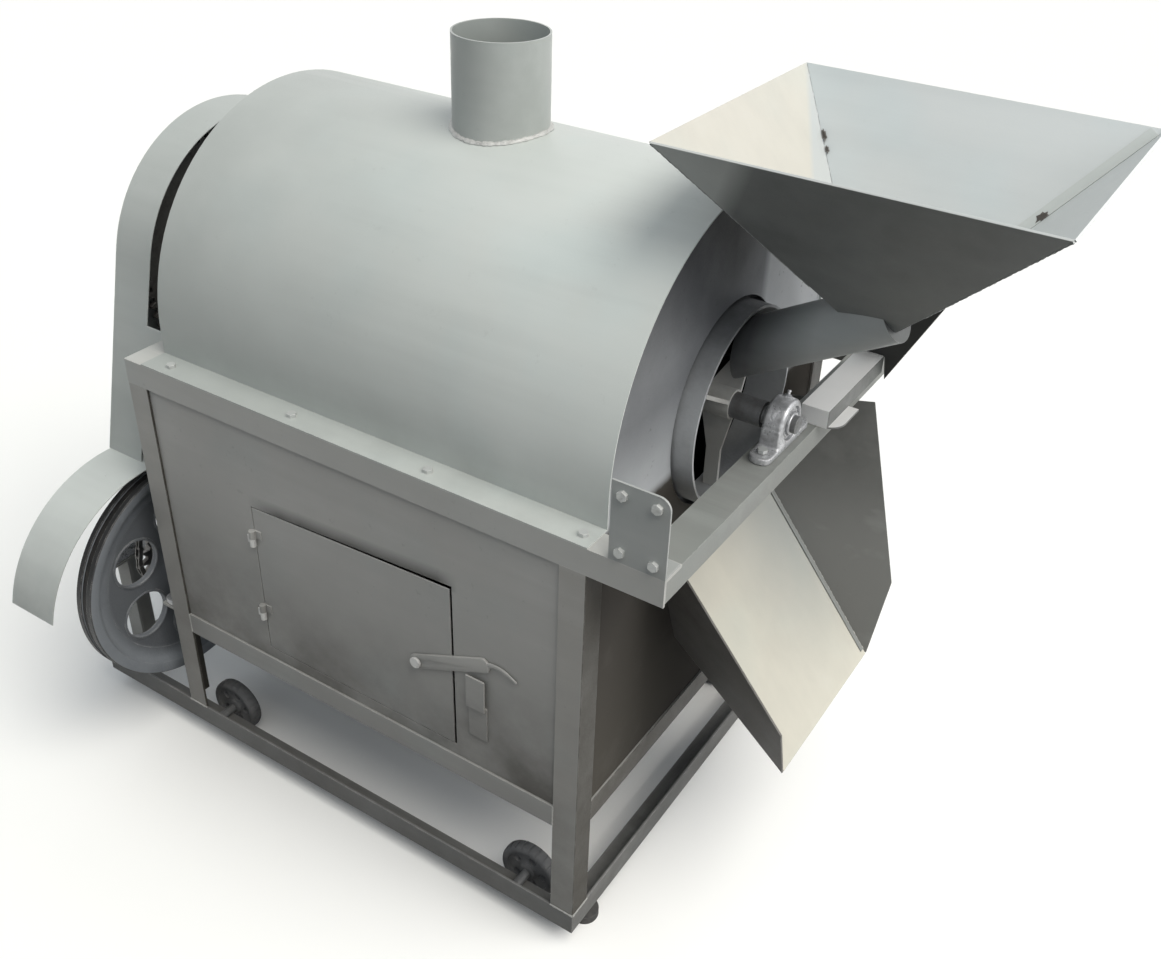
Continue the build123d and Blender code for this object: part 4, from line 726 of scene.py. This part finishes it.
dress = [
    (hood_paint, 0.6, ("hood", "hood_rear_plate")),
    (cover_paint, 0.6, ("chain_cover",)),
    (fender_paint, 0.6, ("pulley_fender",)),
    (plate_paint, 0.7, ("corner_plates",)),
    (panel_paint, 0.5, ("near_panel",)),
    (back_panel_paint, 0.5, ("far_panel", "drive_panel")),
    (door_paint, 0.6, ("fire_door", "latch_keeper")),
    (hinge_steel, 0.4, ("door_hinge_posts",)),
    (leg_paint, 0.9, ("legs",)),
    (frame_paint, 0.9, ("top_rails", "drive_crossbeam", "countershaft_stands")),
    (mid_rail_paint, 0.9, ("mid_rails",)),
    (base_paint, 0.9, ("base_rails", "base_end_rails", "motor_base")),
    (beam_paint, 0.9, ("mouth_crossbeam",)),
    (hopper_warm_lit, 0.5, ("hopper_drum_wall",)),
    (hopper_blue, 0.5, ("hopper_far_wall",)),
    (hopper_near, 0.5, ("hopper_near_wall",)),
    (hopper_grey, 0.5, ("hopper_outer_wall",)),
    (chute_near_paint, 0.5, ("chute_near_wall",)),
    (chute_far_paint, 0.5, ("chute_far_wall",)),
    (slide_warm_lit, 0.5, ("chute_floor",)),
    (bracket_paint, 1.0, ("hopper_bracket",)),
    (pipe_paint, 0.6, ("feed_pipe",)),
    (support_shade_paint, 0.5, ("hopper_support",)),
    (motor_paint, 0.8, ("motor",)),
    (mouth_plate_paint, 0.5, ("mouth_end_plate",)),
    (drum_steel, 0.6, ("drum_mouth_collar",)),
    (spider_steel, 0.7, ("drum_spider",)),
    (zinc, 0.5, ("bolts",)),
    (soot, 0, ("firebox_floor",)),
    (dark_drum, 0, ("drum_shell", "drum_back_plate", "drum_flights")),
    (shaft_steel, 0.5, ("drum_shaft", "countershaft", "motor_shaft", "wheel_axles")),
    (hinge_steel, 0.6, ("latch_pivot",)),
    (oiled_steel, 0.4, ("drum_sprocket", "countershaft_sprocket")),
    (grate_iron, 0.8, ("fire_grate",)),
    (foot_rubber, 1.0, ("parking_feet",)),
]
for finish, rounding, names in dress:
    for name in names:
        if rounding:
            worked(name, finish, rounding * MM)
        else:
            nodes[name].data.materials.clear()
            nodes[name].data.materials.append(finish)

# %% [markdown]
# ## Turned pieces
# A lathe makes anything round, and a circle that is pulled from ring to ring makes the same shape here:
# each pair in a profile is a radius and a height, in millimetres. A profile that ends on its first ring
# closes into a solid ring, and one with two like faces is written from one face to its middle and mirrored.

# %% The lathe and the drill
def turned(rings, sides=64):
    """Turn a round piece along Z from a list of (radius, height) rings in mm."""
    rings = [(radius * MM, height * MM) for radius, height in rings]
    bpy.ops.object.select_all(action="DESELECT")
    radius, height = rings[0]
    bpy.ops.mesh.primitive_circle_add(vertices=sides, radius=radius, location=(0, 0, 0))
    piece = bpy.context.object
    open_mesh(piece, "EDGE")
    bpy.ops.transform.translate(value=(0, 0, height))
    for next_radius, next_height in rings[1:]:
        bpy.ops.mesh.extrude_edges_move(TRANSFORM_OT_translate={"value": (0, 0, next_height - height)})
        growth = next_radius / radius
        bpy.ops.transform.resize(value=(growth, growth, 1), center_override=(0, 0, next_height))
        radius, height = next_radius, next_height
    bpy.ops.mesh.select_all(action="SELECT")
    bpy.ops.mesh.remove_doubles(threshold=WELD_DOUBLES)
    bpy.ops.mesh.normals_make_consistent(inside=False)
    close_mesh()
    return piece


def mirrored(half, width=0.0):
    return [(radius, width - height) for radius, height in reversed(half)]


def drill(piece, spots, radius, depth, sides=32):
    """Bore holes along Z at these places."""
    cutters = []
    for spot in spots:
        bpy.ops.object.select_all(action="DESELECT")
        bpy.ops.mesh.primitive_cylinder_add(vertices=sides, radius=radius, depth=depth, location=spot)
        cutters.append(bpy.context.object)
    cut_away(piece, joined(cutters))


def round_pattern(count, radius, height=0.0):
    angles = [2 * pi * number / count for number in range(count)]
    return [(radius * cos(angle), radius * sin(angle), height) for angle in angles]


print("lathe ready")

# %% [markdown]
# ## Wheels
# A trolley wheel has a soft tyre with a notched tread on a moulded disc with five holes. The tyre and disc
# are one turned ring. Every third patch of the tread is then pushed in to make the notches. One wheel is
# modelled and each of the four places gets a copy.

# %% Wheel, modelled once and copied
wheel_low, wheel_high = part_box("wheel_near_mouth")
wheel_width = wheel_high.y - wheel_low.y
from_face = ((6.2, 0), (13.0, 0), (14.5, 1.2), (15.0, 4), (17.0, 5), (36.0, 5), (37.5, 4), (38.0, 1),
             (39.5, 0), (44.0, 0), (47.5, 1.4), (49.4, 4.5))
half = [(radius, depth - wheel_width / MM / 2) for radius, depth in from_face]
wheel = turned([*half, (49.9, 0.0), *mirrored(half), half[0]], 72)
drill(wheel, round_pattern(5, 26 * MM), 7 * MM, wheel_width)
tread_radius = 47.8 * MM
notch = 2 * pi / 24


def is_notch(face):
    x, y = face.center.xy
    return hypot(x, y) > tread_radius and atan2(y, x) % notch < notch / 3


pick(wheel, "FACE", is_notch)
bpy.ops.mesh.extrude_region_shrink_fatten(TRANSFORM_OT_shrink_fatten={"value": -1.3 * MM})
close_mesh()
to_axle = Vector((0, 0, 1)).rotation_difference(Vector((0, 1, 0))).to_matrix().to_4x4()
for name in ("wheel_near_mouth", "wheel_near_drive", "wheel_far_mouth", "wheel_far_drive"):
    low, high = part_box(name)
    tyre = copied(wheel, Matrix.Translation((low + high) / 2) @ to_axle)
    finish_piece(tyre, name + "_tyre", tyre_rubber, name)
bpy.data.objects.remove(wheel)

# %% [markdown]
# ## Pulleys and belt
# The large pulley is a casting: a grooved rim, a thin web with six holes that have a raised lip, and a hub.
# All of it is turned, and the holes are bored. The motor's pulley is a small solid one. The belt's V is
# drawn as four loops round both grooves that are skinned into one ring.

# %% Pulleys
def pulley_size(node):
    """Rim radius and width in mm, and the place of the low face."""
    low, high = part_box(node)
    return (high.z - low.z) / 2 / MM, (high.x - low.x) / MM, low.x


def grooved(rim, width, inside, sides):
    """A pulley with a V groove, and on both faces the same profile from its bore to its rim."""
    middle = width / 2
    half = inside + [(rim - 1.5, 0), (rim, 1.5), (rim, middle - 7), (rim - 1.5, middle - 6.2),
                     (rim - 12.8, middle - 4.4)]
    return turned([*half, *mirrored(half, width), half[0]], sides)


rim, width, x_pulley = pulley_size("large_pulley")
web_face = 13.4
casting = grooved(rim, width, [
    (12.55, 1), (14.5, 0), (36, 0), (37.5, 1), (39, 8), (44, 11.5), (60, web_face), (rim - 45, web_face),
    (rim - 44, 12.5), (rim - 29, 12.5), (rim - 25, 10.5), (rim - 21, 6), (rim - 19, 2), (rim - 15, 0)], 128)
web_holes = round_pattern(6, 109 * MM, width / 2 * MM)
drill(casting, web_holes, 42 * MM, width * MM, 64)
lip = turned([(41.8, -0.6), (45.5, -0.6), (46.0, 0.9), (44.6, 2.0), (42.8, 2.0), (41.8, 1.0), (41.8, -0.6)])
lips = []
for x, y, _ in web_holes:
    lips.append(copied(lip, Matrix.Translation((x, y, (width - web_face) * MM))))
    lips.append(copied(lip, Matrix.Translation((x, y, web_face * MM)) @ Matrix.Rotation(pi, 4, "X")))
bpy.data.objects.remove(lip)
casting = stand(joined([casting] + lips), along_x, (x_pulley, *counter_axis))
finish_piece(casting, "large_pulley_casting", pulley_iron, "large_pulley", crease=32)

rim, width, x_pulley = pulley_size("motor_pulley")
bore = pulley_size("motor_shaft")[0] + 0.05
small = grooved(rim, width, [(bore, 1), (bore + 1, 0), (bore + 8, 0), (bore + 10, 3.5), (rim - 11, 2),
                             (rim - 8, 0)], 64)
stand(small, along_x, (x_pulley, *motor_axis))
finish_piece(small, "motor_pulley_turned", small_pulley_iron, "motor_pulley", crease=32)


# %% Belt
def loop_round(first, first_radius, second, second_radius, steps):
    """Points of the tight loop round two circles in the YZ plane, as (y, z)."""
    gap = second - first
    heading = atan2(gap.y, gap.x)
    opening = acos((first_radius - second_radius) / gap.length)
    turns = [(first, first_radius, heading + opening, 2 * pi - 2 * opening),
             (second, second_radius, heading - opening, 2 * opening)]
    points = []
    for middle, radius, start, sweep in turns:
        for step in range(steps + 1):
            angle = start + sweep * step / steps
            points.append(middle + radius * Vector((cos(angle), sin(angle))))
    return points


def skinned(name, loops):
    """A closed ring from loops of points that follow one another round its section."""
    count = len(loops[0])
    faces = []
    for ring in range(len(loops)):
        here, after = ring * count, (ring + 1) % len(loops) * count
        for step in range(count):
            ahead = (step + 1) % count
            faces.append((here + step, here + ahead, after + ahead, after + step))
    mesh = bpy.data.meshes.new(name)
    mesh.from_pydata([spot for loop in loops for spot in loop], [], faces)
    piece = linked(name, mesh)
    open_mesh(piece)
    bpy.ops.mesh.normals_make_consistent(inside=False)
    close_mesh()
    return piece


belt_low, belt_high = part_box("drive_belt")
belt_middle = (belt_low.x + belt_high.x) / 2
belt_depth = 10 * MM
section = ((-4.9, 0.0), (-3.4, belt_depth), (3.4, belt_depth), (4.9, 0.0))
loops = []
for across, sunk in section:
    loop = loop_round(counter_axis, belt_high.z - counter_axis.y - sunk,
                      motor_axis, motor_axis.y - belt_low.z - sunk, 48)
    loops.append([(belt_middle + across * MM, point.x, point.y) for point in loop])
belt = skinned("belt", loops)
ease_edges(belt, 0.7 * MM)
finish_piece(belt, "drive_belt_rubber", belt_rubber, "drive_belt")

# %% [markdown]
# ## Chain
# A roller chain is two kinds of link in turn: a wide pair of plates on two pins, and a narrow pair round
# two rollers. Each is modelled once with a few dozen faces and copied round both sprockets at equal steps
# along the loop.

# %% Chain links
def along_loop(points, distance):
    """The point that lies a distance along a closed loop."""
    for start, end in zip(points, points[1:] + points[:1]):
        length = (end - start).length
        if distance <= length:
            return start.lerp(end, distance / length)
        distance -= length
    return points[0]


plate_height = 8.6 * MM
plate_thick = 1.3 * MM


def link(pitch, x_plates, roller_radius, roller_length):
    pieces = []
    for x in (-x_plates, x_plates):
        plate = start_box((x, 0, 0), (plate_thick, pitch + 8.5 * MM, plate_height))
        round_off(plate, lambda a, b: abs(a.x - b.x) > plate_thick / 2, offset=0.46 * plate_height,
                  segments=2)
        pieces.append(plate)
    for y in (-pitch / 2, pitch / 2):
        bpy.ops.object.select_all(action="DESELECT")
        bpy.ops.mesh.primitive_cylinder_add(vertices=8, radius=roller_radius, depth=roller_length,
                                            location=(0, y, 0), rotation=(0, pi / 2, 0))
        pieces.append(bpy.context.object)
        set_place()
    return joined(pieces)


chain_low, chain_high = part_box("drive_chain")
chain_middle = (chain_low.x + chain_high.x) / 2
half_depth = 4.5 * MM
chain_loop = loop_round(drum_axis, chain_high.z - drum_axis.y - half_depth,
                        counter_axis, counter_axis.y - chain_low.z - half_depth, 90)
chain_length = sum((b - a).length for a, b in zip(chain_loop, chain_loop[1:] + chain_loop[:1]))
link_count = 2 * round(chain_length / (19.05 * MM) / 2)
pitch = chain_length / link_count
kinds = (link(pitch, 4.3 * MM, 1.9 * MM, 9.9 * MM), link(pitch, 2.8 * MM, 3.6 * MM, 4.2 * MM))
links = []
for number in range(link_count):
    start = along_loop(chain_loop, number * pitch)
    end = along_loop(chain_loop, (number + 1) * pitch % chain_length)
    lean = Matrix.Rotation(atan2(end.y - start.y, end.x - start.x), 4, "X")
    links.append(copied(kinds[number % 2], Matrix.Translation((chain_middle, *(start + end) / 2)) @ lean))
for pattern in kinds:
    bpy.data.objects.remove(pattern)
finish_piece(joined(links), "drive_chain_links", oiled_steel, "drive_chain", crease=30)
print(link_count, "links at", round(pitch / MM, 2), "mm")

# %% [markdown]
# ## Bearing housings
# A pillow block is a casting: a foot with rounded ends, a barrel on two shoulders and no sharp corner
# anywhere. The rough blocks are joined and remeshed into one skin that is smoothed as sand-cast iron is.
# The race in it is turned, with the ridges that its seal and its collar make.

# %% Cast one housing
block_low, block_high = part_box("mouth_bearing")
block_long = block_high.y - block_low.y
shaft_rise = z_axis - block_low.z
barrel = block_high.z - z_axis
block_deep = 34 * MM
foot_rise = 12 * MM


def on_barrel(share):
    """Where the grease nipple's axis is at a share of the barrel's radius."""
    return (0, 0.35 * share * barrel, shaft_rise + 0.92 * share * barrel)


foot = start_box((0, 0, foot_rise / 2), (block_deep - 2 * MM, block_long - 2 * MM, foot_rise - 1.6 * MM))
round_off(foot, lambda a, b: abs(a.z - b.z) > foot_rise / 2, offset=13 * MM, segments=5)
shoulder = start_box((0, 0, shaft_rise / 2), (block_deep - 6 * MM, 2 * barrel, shaft_rise))
pick(shoulder, "FACE", lambda face: face.normal.z < -0.5)
bpy.ops.transform.resize(value=(1, 1.12, 1), center_override=(0, 0, 0))
close_mesh()

at_shaft = (0, 0, shaft_rise)
nipple_way = (0, 0.35, 0.94)
round_part = turned([(1, -15), (30, -15), (33.6, -12.5), (34.0, 0), (33.6, 12.5), (30, 15), (1, 15)], 48)
stand(round_part, along_x, at_shaft)
nipple_boss = turned([(0.5, 0), (5.5, 0), (5.0, 6), (0.5, 6)], 16)
stand(nipple_boss, nipple_way, on_barrel(0.9))
housing = joined([foot, shoulder, round_part, nipple_boss])
modify(housing, "REMESH", mode="VOXEL", voxel_size=1.5 * MM)
modify(housing, "SMOOTH", factor=0.5, iterations=7)
mouth_of_race = turned([(0.5, 10.5), (24.4, 10.5), (25.2, 20), (0.5, 20)], 48)
hollow = joined([mouth_of_race, copied(mouth_of_race, Matrix.Rotation(pi, 4, "X"))])
through = turned([(0.5, -20), (22.2, -20), (22.2, 20), (0.5, 20)], 48)
for cutter in (hollow, through):
    cut_away(housing, stand(cutter, along_x, at_shaft))
print("housing", len(housing.data.polygons), "faces")

# %% Turn its race and set all four housings
half = [(12.7, -17.6), (15.6, -17.6), (16.4, -16.6), (16.4, -12.2), (17.6, -12.0), (18.2, -13.6),
        (19.6, -13.6), (20.2, -12.4), (22.3, -12.4)]
race = turned([*half, *mirrored(half), half[0]])
stand(race, along_x, at_shaft)
nipple = turned([(0.4, -3), (3.2, -3), (3.2, 0.5), (2.2, 1.2), (2.2, 3.2), (2.9, 4.2), (2.4, 6.0),
                 (0.4, 6.4)], 14)
stand(nipple, nipple_way, on_barrel(1.06))
housing = joined([housing, race, nipple])


def loose_boxes(node):
    """The lowest and highest corners of each separate solid in a node."""
    open_mesh(linked(node, nodes[node].data.copy()))
    bpy.ops.mesh.remove_doubles(threshold=WELD_DOUBLES)
    bpy.ops.mesh.separate(type="LOOSE")
    close_mesh()
    boxes = []
    for piece in list(bpy.context.selected_objects):
        spots = [vertex.co for vertex in piece.data.vertices]
        boxes.append((Vector(map(min, zip(*spots))), Vector(map(max, zip(*spots)))))
        bpy.data.objects.remove(piece)
    return boxes


for name, node in (("mouth_bearing_casting", "mouth_bearing"), ("drive_bearing_castings", "drive_bearings")):
    copies = [copied(housing, Matrix.Translation(((low.x + high.x) / 2, (low.y + high.y) / 2, low.z)))
              for low, high in loose_boxes(node)]
    finish_piece(joined(copies), name, bearing_metal, node, crease=34)
bpy.data.objects.remove(housing)

# %% [markdown]
# ## Chimney
# The chimney is a rolled tube, never quite round, with a thin open rim. It goes a little way into the hood
# and a bead of weld closes the joint. The tube is turned with a wall and then pushed out of true by a soft
# cloud of noise.

# %% Chimney tube
tube_low, tube_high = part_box("chimney")
collar_width = 3.0
tube_radius = (tube_high.x - tube_low.x) / 2 / MM - collar_width
tube_x = (tube_low.x + tube_high.x) / 2
tube_wall = 2.5
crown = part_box("hood")[1].z
tube_foot = crown / MM - 11
heights = [tube_foot + (tube_high.z / MM - tube_foot) * step / 12 for step in range(13)]
outer = [(tube_radius, height) for height in heights]
inner = [(tube_radius - tube_wall, height) for height in reversed(heights)]
tube = stand(turned(outer + inner + outer[:1], 96), along_z, (tube_x, y_axis, 0))
clouds = bpy.data.textures.new("out_of_true", "CLOUDS")
clouds.noise_scale = 0.09
modify(tube, "DISPLACE", texture=clouds, direction="X", strength=1.6 * MM, texture_coords="LOCAL")
finish_piece(tube, "chimney_tube", chimney_paint, "chimney")

# %% [markdown]
# ## Welds
# The whole machine is welded from sheet and angle. A bead of weld is a row of frozen drops, so it is a
# round section swept along the seam that swells and pinches every few millimetres. The curve is made a mesh
# straight away, and the beads of one assembly are joined into one piece.

# %% Lay a bead
def weld_bead(points, radius, closed=False):
    curve = bpy.data.curves.new("bead", "CURVE")
    curve.dimensions = "3D"
    curve.bevel_depth = radius
    curve.bevel_resolution = 1
    curve.use_fill_caps = True
    line = curve.splines.new("POLY")
    line.points.add(len(points) - 1)
    line.use_cyclic_u = closed
    for number, (drop, point) in enumerate(zip(line.points, points)):
        drop.co = (*point, 1)
        drop.radius = 1.0 + 0.22 * sin(2.1 * number) + 0.14 * sin(0.73 * number + 1.0)
    work_on(linked("bead", curve))
    bpy.ops.object.convert(target="MESH")
    return bpy.context.object


def weld_runs(name, finish, runs, drop=3.2 * MM):
    """One piece from straight beads, each given by its two ends and its radius in mm."""
    beads = []
    for start, end, radius in runs:
        start, end = Vector(start), Vector(end)
        count = max(3, round((end - start).length / drop))
        beads.append(weld_bead([start.lerp(end, step / count) for step in range(count + 1)], radius * MM))
    finish_piece(joined(beads), name, finish)


hood_radius = crown - z_axis
ring_radius = (tube_radius + 1.2) * MM
ring = []
for along, across, _ in round_pattern(140, ring_radius):
    on_hood = z_axis + sqrt(hood_radius ** 2 - across ** 2)
    ring.append((tube_x + along, y_axis + across, on_hood + 1.0 * MM))
finish_piece(weld_bead(ring, 3.6 * MM, True), "chimney_weld", weld_metal)

# %% Frame welds
leg_side = 40 * MM
foot_z = legs_low.z + 0.6 * MM
rail_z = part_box("mid_rails")[0].z
runs = []
for x, inner_x in ((x_mouth, x_mouth - leg_side), (x_drive, x_drive + leg_side)):
    for y, inward in ((y_near, 1), (y_far, -1)):
        face_y = y + inward * 0.4 * MM
        runs += [((x, y, foot_z), (inner_x, y, foot_z), 1.7),
                 ((x, y, foot_z), (x, y + inward * leg_side, foot_z), 1.7),
                 ((inner_x, face_y, rail_z + 2 * MM), (inner_x, face_y, rail_z + leg_side), 1.5)]
weld_runs("frame_welds", frame_paint, runs)

# %% [markdown]
# ## Hopper seams
# Four flat sheets make the hopper. Outside, each corner is closed by a run of weld. Inside, the far sheet
# has a narrow strip lapped over the outer corner, and the welds have burnt through in a place or two. The
# strip is a flat bar that lies on the far sheet, and a burn is a ragged patch a hair thick.

# %% Hopper corners and their beads
near_low, near_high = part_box("hopper_near_wall")
drum_low, drum_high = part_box("hopper_drum_wall")
rim_x, rim_y, rim_z = (near_low.x, near_high.x), (drum_low.y, drum_high.y), near_high.z
outlet_x = (x_mouth + 154.75 * MM, x_mouth + 217.25 * MM)
outlet_y = (y_axis - 18 * MM, y_axis + 18 * MM)
outlet_z = z_top + 217.5 * MM


def hopper_corner(i, j, share):
    """A point on the corner between a wall in X and a wall in Y, from the rim at 0 to the outlet at 1."""
    return Vector((rim_x[i], rim_y[j], rim_z)).lerp(Vector((outlet_x[i], outlet_y[j], outlet_z)), share)


runs = []
for i, j in ((0, 0), (0, 1), (1, 0), (1, 1)):
    outwards = Vector((4.0 * i - 2.0, 4.0 * j - 2.0, -0.6)) * MM
    runs.append((hopper_corner(i, j, 0.01) + outwards, hopper_corner(i, j, 0.80) + outwards, 1.2))
weld_runs("hopper_welds", hopper_grey, runs)


# %% Lapped strips and burns inside
def on_sheet(along, across):
    """Three axes on a sheet: along a line, across it and off the sheet."""
    along = along.normalized()
    across = (across - along * along.dot(across)).normalized()
    return along, across, along.cross(across)


def towards(way, start, target):
    return way if way.dot(target - start) > 0 else -way


def flat_bar(start, end, across, width, thickness, inside):
    """A thin bar along a line, lying to one side of it and facing a point inside."""
    along, across, out = on_sheet(end - start, across)
    out = towards(out, start, inside)
    bar = start_box((0, 0, 0), ((end - start).length, width, thickness))
    open_mesh(bar)
    bpy.ops.mesh.subdivide(number_cuts=5)
    close_mesh()
    middle = (start + end) / 2 + across * width / 2 + out * thickness / 2
    bar.data.transform(set_at(middle, along, across, out))
    open_mesh(bar)
    bpy.ops.mesh.normals_make_consistent(inside=False)
    close_mesh()
    ease_edges(bar, 0.3 * MM, 1)
    return bar


def burn(spot, along, across, length, width):
    """A ragged patch that lies on a sheet."""
    bpy.ops.object.select_all(action="DESELECT")
    bpy.ops.mesh.primitive_circle_add(vertices=14, radius=0.5, fill_type="NGON")
    patch = bpy.context.object
    for number, corner in enumerate(patch.data.vertices):
        corner.co *= 1.0 + 0.28 * sin(2.6 * number) - 0.12 * cos(4.1 * number)
    open_mesh(patch, "FACE")
    bpy.ops.transform.resize(value=(length, width, 1), center_override=(0, 0, 0))
    bpy.ops.mesh.extrude_region_move(TRANSFORM_OT_translate={"value": (0, 0, 0.5 * MM)})
    bpy.ops.mesh.select_all(action="SELECT")
    bpy.ops.mesh.normals_make_consistent(inside=False)
    close_mesh()
    patch.data.transform(set_at(spot, *on_sheet(along, across)))
    return patch


hopper_inside = Vector(((rim_x[0] + rim_x[1]) / 2, y_axis, rim_z))
strip = flat_bar(hopper_corner(1, 1, 0.03), hopper_corner(1, 1, 0.74), Vector((-1, 0, 0)), 13 * MM, 1.0 * MM,
                 hopper_inside)
finish_piece(strip, "hopper_lap_strip", hopper_strip)
burns = []
for i, share, offset, length, width in ((0, 0.31, 3, 17, 6), (0, 0.37, 3, 11, 5), (1, 0.45, 4, 16, 9)):
    spot = hopper_corner(i, 1, share)
    line = hopper_corner(i, 1, 1.0) - spot
    sideways = Vector((1 - 2 * i, 0, 0))
    lift_off = towards(on_sheet(line, sideways)[2], spot, hopper_inside) * 1.5
    spot += (sideways * offset + lift_off) * MM
    burns.append(burn(spot, line, sideways, length * MM, width * MM))
finish_piece(joined(burns), "hopper_burns", soot)

# %% [markdown]
# ## Chute and bracket welds
# The chute's three sheets are welded along the floor, with a strip lapped over the far seam. The bracket is
# welded to the beam, and the support to the bracket. Each run follows an edge that is read from the solids.

# %% Chute and bracket beads
floor_low, floor_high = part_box("chute_floor")
runs = []
for y in (floor_low.y + 1.0 * MM, floor_high.y - 1.0 * MM):
    lower = Vector((floor_high.x - 6 * MM, y, floor_low.z + 9 * MM))
    upper = Vector((x_mouth + 4 * MM, y, floor_high.z - 6 * MM))
    runs.append((lower, upper, 1.5))
weld_runs("chute_welds", slide_warm_lit, runs)

over_floor = Vector((0.6 * MM, 0, 0.9 * MM))
above_chute = Vector((x_mouth + 1, y_axis, z_top + 1))
strip = flat_bar(lower + over_floor, upper + over_floor, Vector((0, -1, 0)), 9 * MM, 0.8 * MM, above_chute)
finish_piece(strip, "chute_lap_strip", chute_strip)

bracket_low, bracket_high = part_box("hopper_bracket")
beam_z, support_y, support_z = z_top + 0.6 * MM, bracket_high.y - 4.5 * MM, bracket_high.z + 0.4 * MM
weld_runs("bracket_welds", weld_metal, [
    ((bracket_low.x, bracket_low.y + 4 * MM, beam_z), (bracket_low.x, bracket_high.y - 4 * MM, beam_z), 1.6),
    ((bracket_low.x + 1 * MM, support_y, support_z), (bracket_low.x + 41 * MM, support_y, support_z), 1.8)])

# %% [markdown]
# ## Latch
# The latch is a flat bar that turns on a bolt and drops behind a keeper. Its end is drawn out and bent down
# for the hand. The bar is a box with one end rounded by a bevel and the other tapered. The tail is a curve
# with a round section that is pressed flat. Both are modelled along the bar and then turned to its place,
# lifted off the keeper.

# %% Latch bar with its bent tail
pivot = joint_place["latch_turn"]
lift = radians(24)
bar_reach = 139.5 * MM
bar_half = 12 * MM
bar_thick = 4 * MM
bar = start_box(((bar_reach - bar_half) / 2, 0, bar_thick / 2),
                (bar_reach + bar_half, 2 * bar_half, bar_thick))
round_off(bar, lambda a, b: abs(a.z - b.z) > bar_thick / 2 and a.x < 0, offset=0.97 * bar_half, segments=7)
round_off(bar, lambda a, b: abs(a.z - b.z) > bar_thick / 2 and a.x > 0.9 * bar_reach, offset=0.68 * bar_half,
          segments=3)
drill(bar, [(0, 0, bar_thick / 2)], 5.1 * MM, 3 * bar_thick)
ease_edges(bar, 0.6 * MM, angle=50)

bend = ((-16, 0), (-2, 0.5), (10, -0.5), (19, -5), (27, -12), (34, -20), (39, -27))
tail = weld_bead([(bar_reach + along * MM, up * MM, 0) for along, up in bend], 4.6 * MM)
modify(tail, "SUBSURF", levels=2, render_levels=2)
tail.data.transform(Matrix.Translation((0, 0, bar_thick / 2)) @ Matrix.Diagonal((1, 1, 0.42, 1)))
latch = joined([bar, tail])
latch.data.transform(set_at((pivot.x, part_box("latch_bar")[1].y, pivot.z), (cos(lift), 0, sin(lift)),
                            (-sin(lift), 0, cos(lift)), (0, -1, 0)))
finish_piece(latch, "latch_bar_forged", door_paint, "latch_bar", crease=35)

# %% [markdown]
# ## Motor fittings
# A small fan-cooled motor has a pressed cowl with holes at its blind end, a lid with four screws on its
# terminal box and a gland where its lead would enter. The cowl is turned and bored, the lid is a box with
# soft edges.

# %% Cowl, lid and gland
motor_low, motor_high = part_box("motor")
cowl = turned([(6, 5.5), (40, 5.0), (58, 3.2), (66, 0.4), (67, -3.0), (64, -3.0), (63, 0), (56, 1.6),
               (40, 3.2), (6, 3.8), (6, 5.5)])
for count, radius in ((14, 48), (9, 33), (5, 18)):
    drill(cowl, round_pattern(count, radius * MM), 4.6 * MM, 30 * MM, 16)
stand(cowl, along_x, (motor_high.x, *motor_axis))
lid_middle = Vector((motor_low.x + 72 * MM, motor_axis.x, motor_high.z + 1.2 * MM))
lid = start_box(lid_middle, (88 * MM, 54 * MM, 3.4 * MM))
ease_edges(lid, 1.4 * MM, 3)
gland = turned([(4.0, 18), (7.0, 18), (8.5, 16), (9.0, 9), (11, 8.5), (11, 2), (8, 1.5), (8, -3), (4.0, -3),
                (4.0, 18)], 12)
stand(gland, (0, -1, 0), (lid_middle.x, motor_axis.x - 26 * MM, motor_high.z - 12 * MM))
fittings = [cowl, lid, gland]
for x, y in ((-36, -20), (-36, 20), (36, -20), (36, 20)):
    screw = turned([(0.4, 2.6), (2.6, 2.4), (3.8, 1.2), (4.0, 0.0), (4.0, -1.0), (0.4, -1.0)], 14)
    fittings.append(stand(screw, along_z, lid_middle + Vector((x, y, 1.7)) * MM))
finish_piece(joined(fittings), "motor_fittings", motor_paint, crease=32)
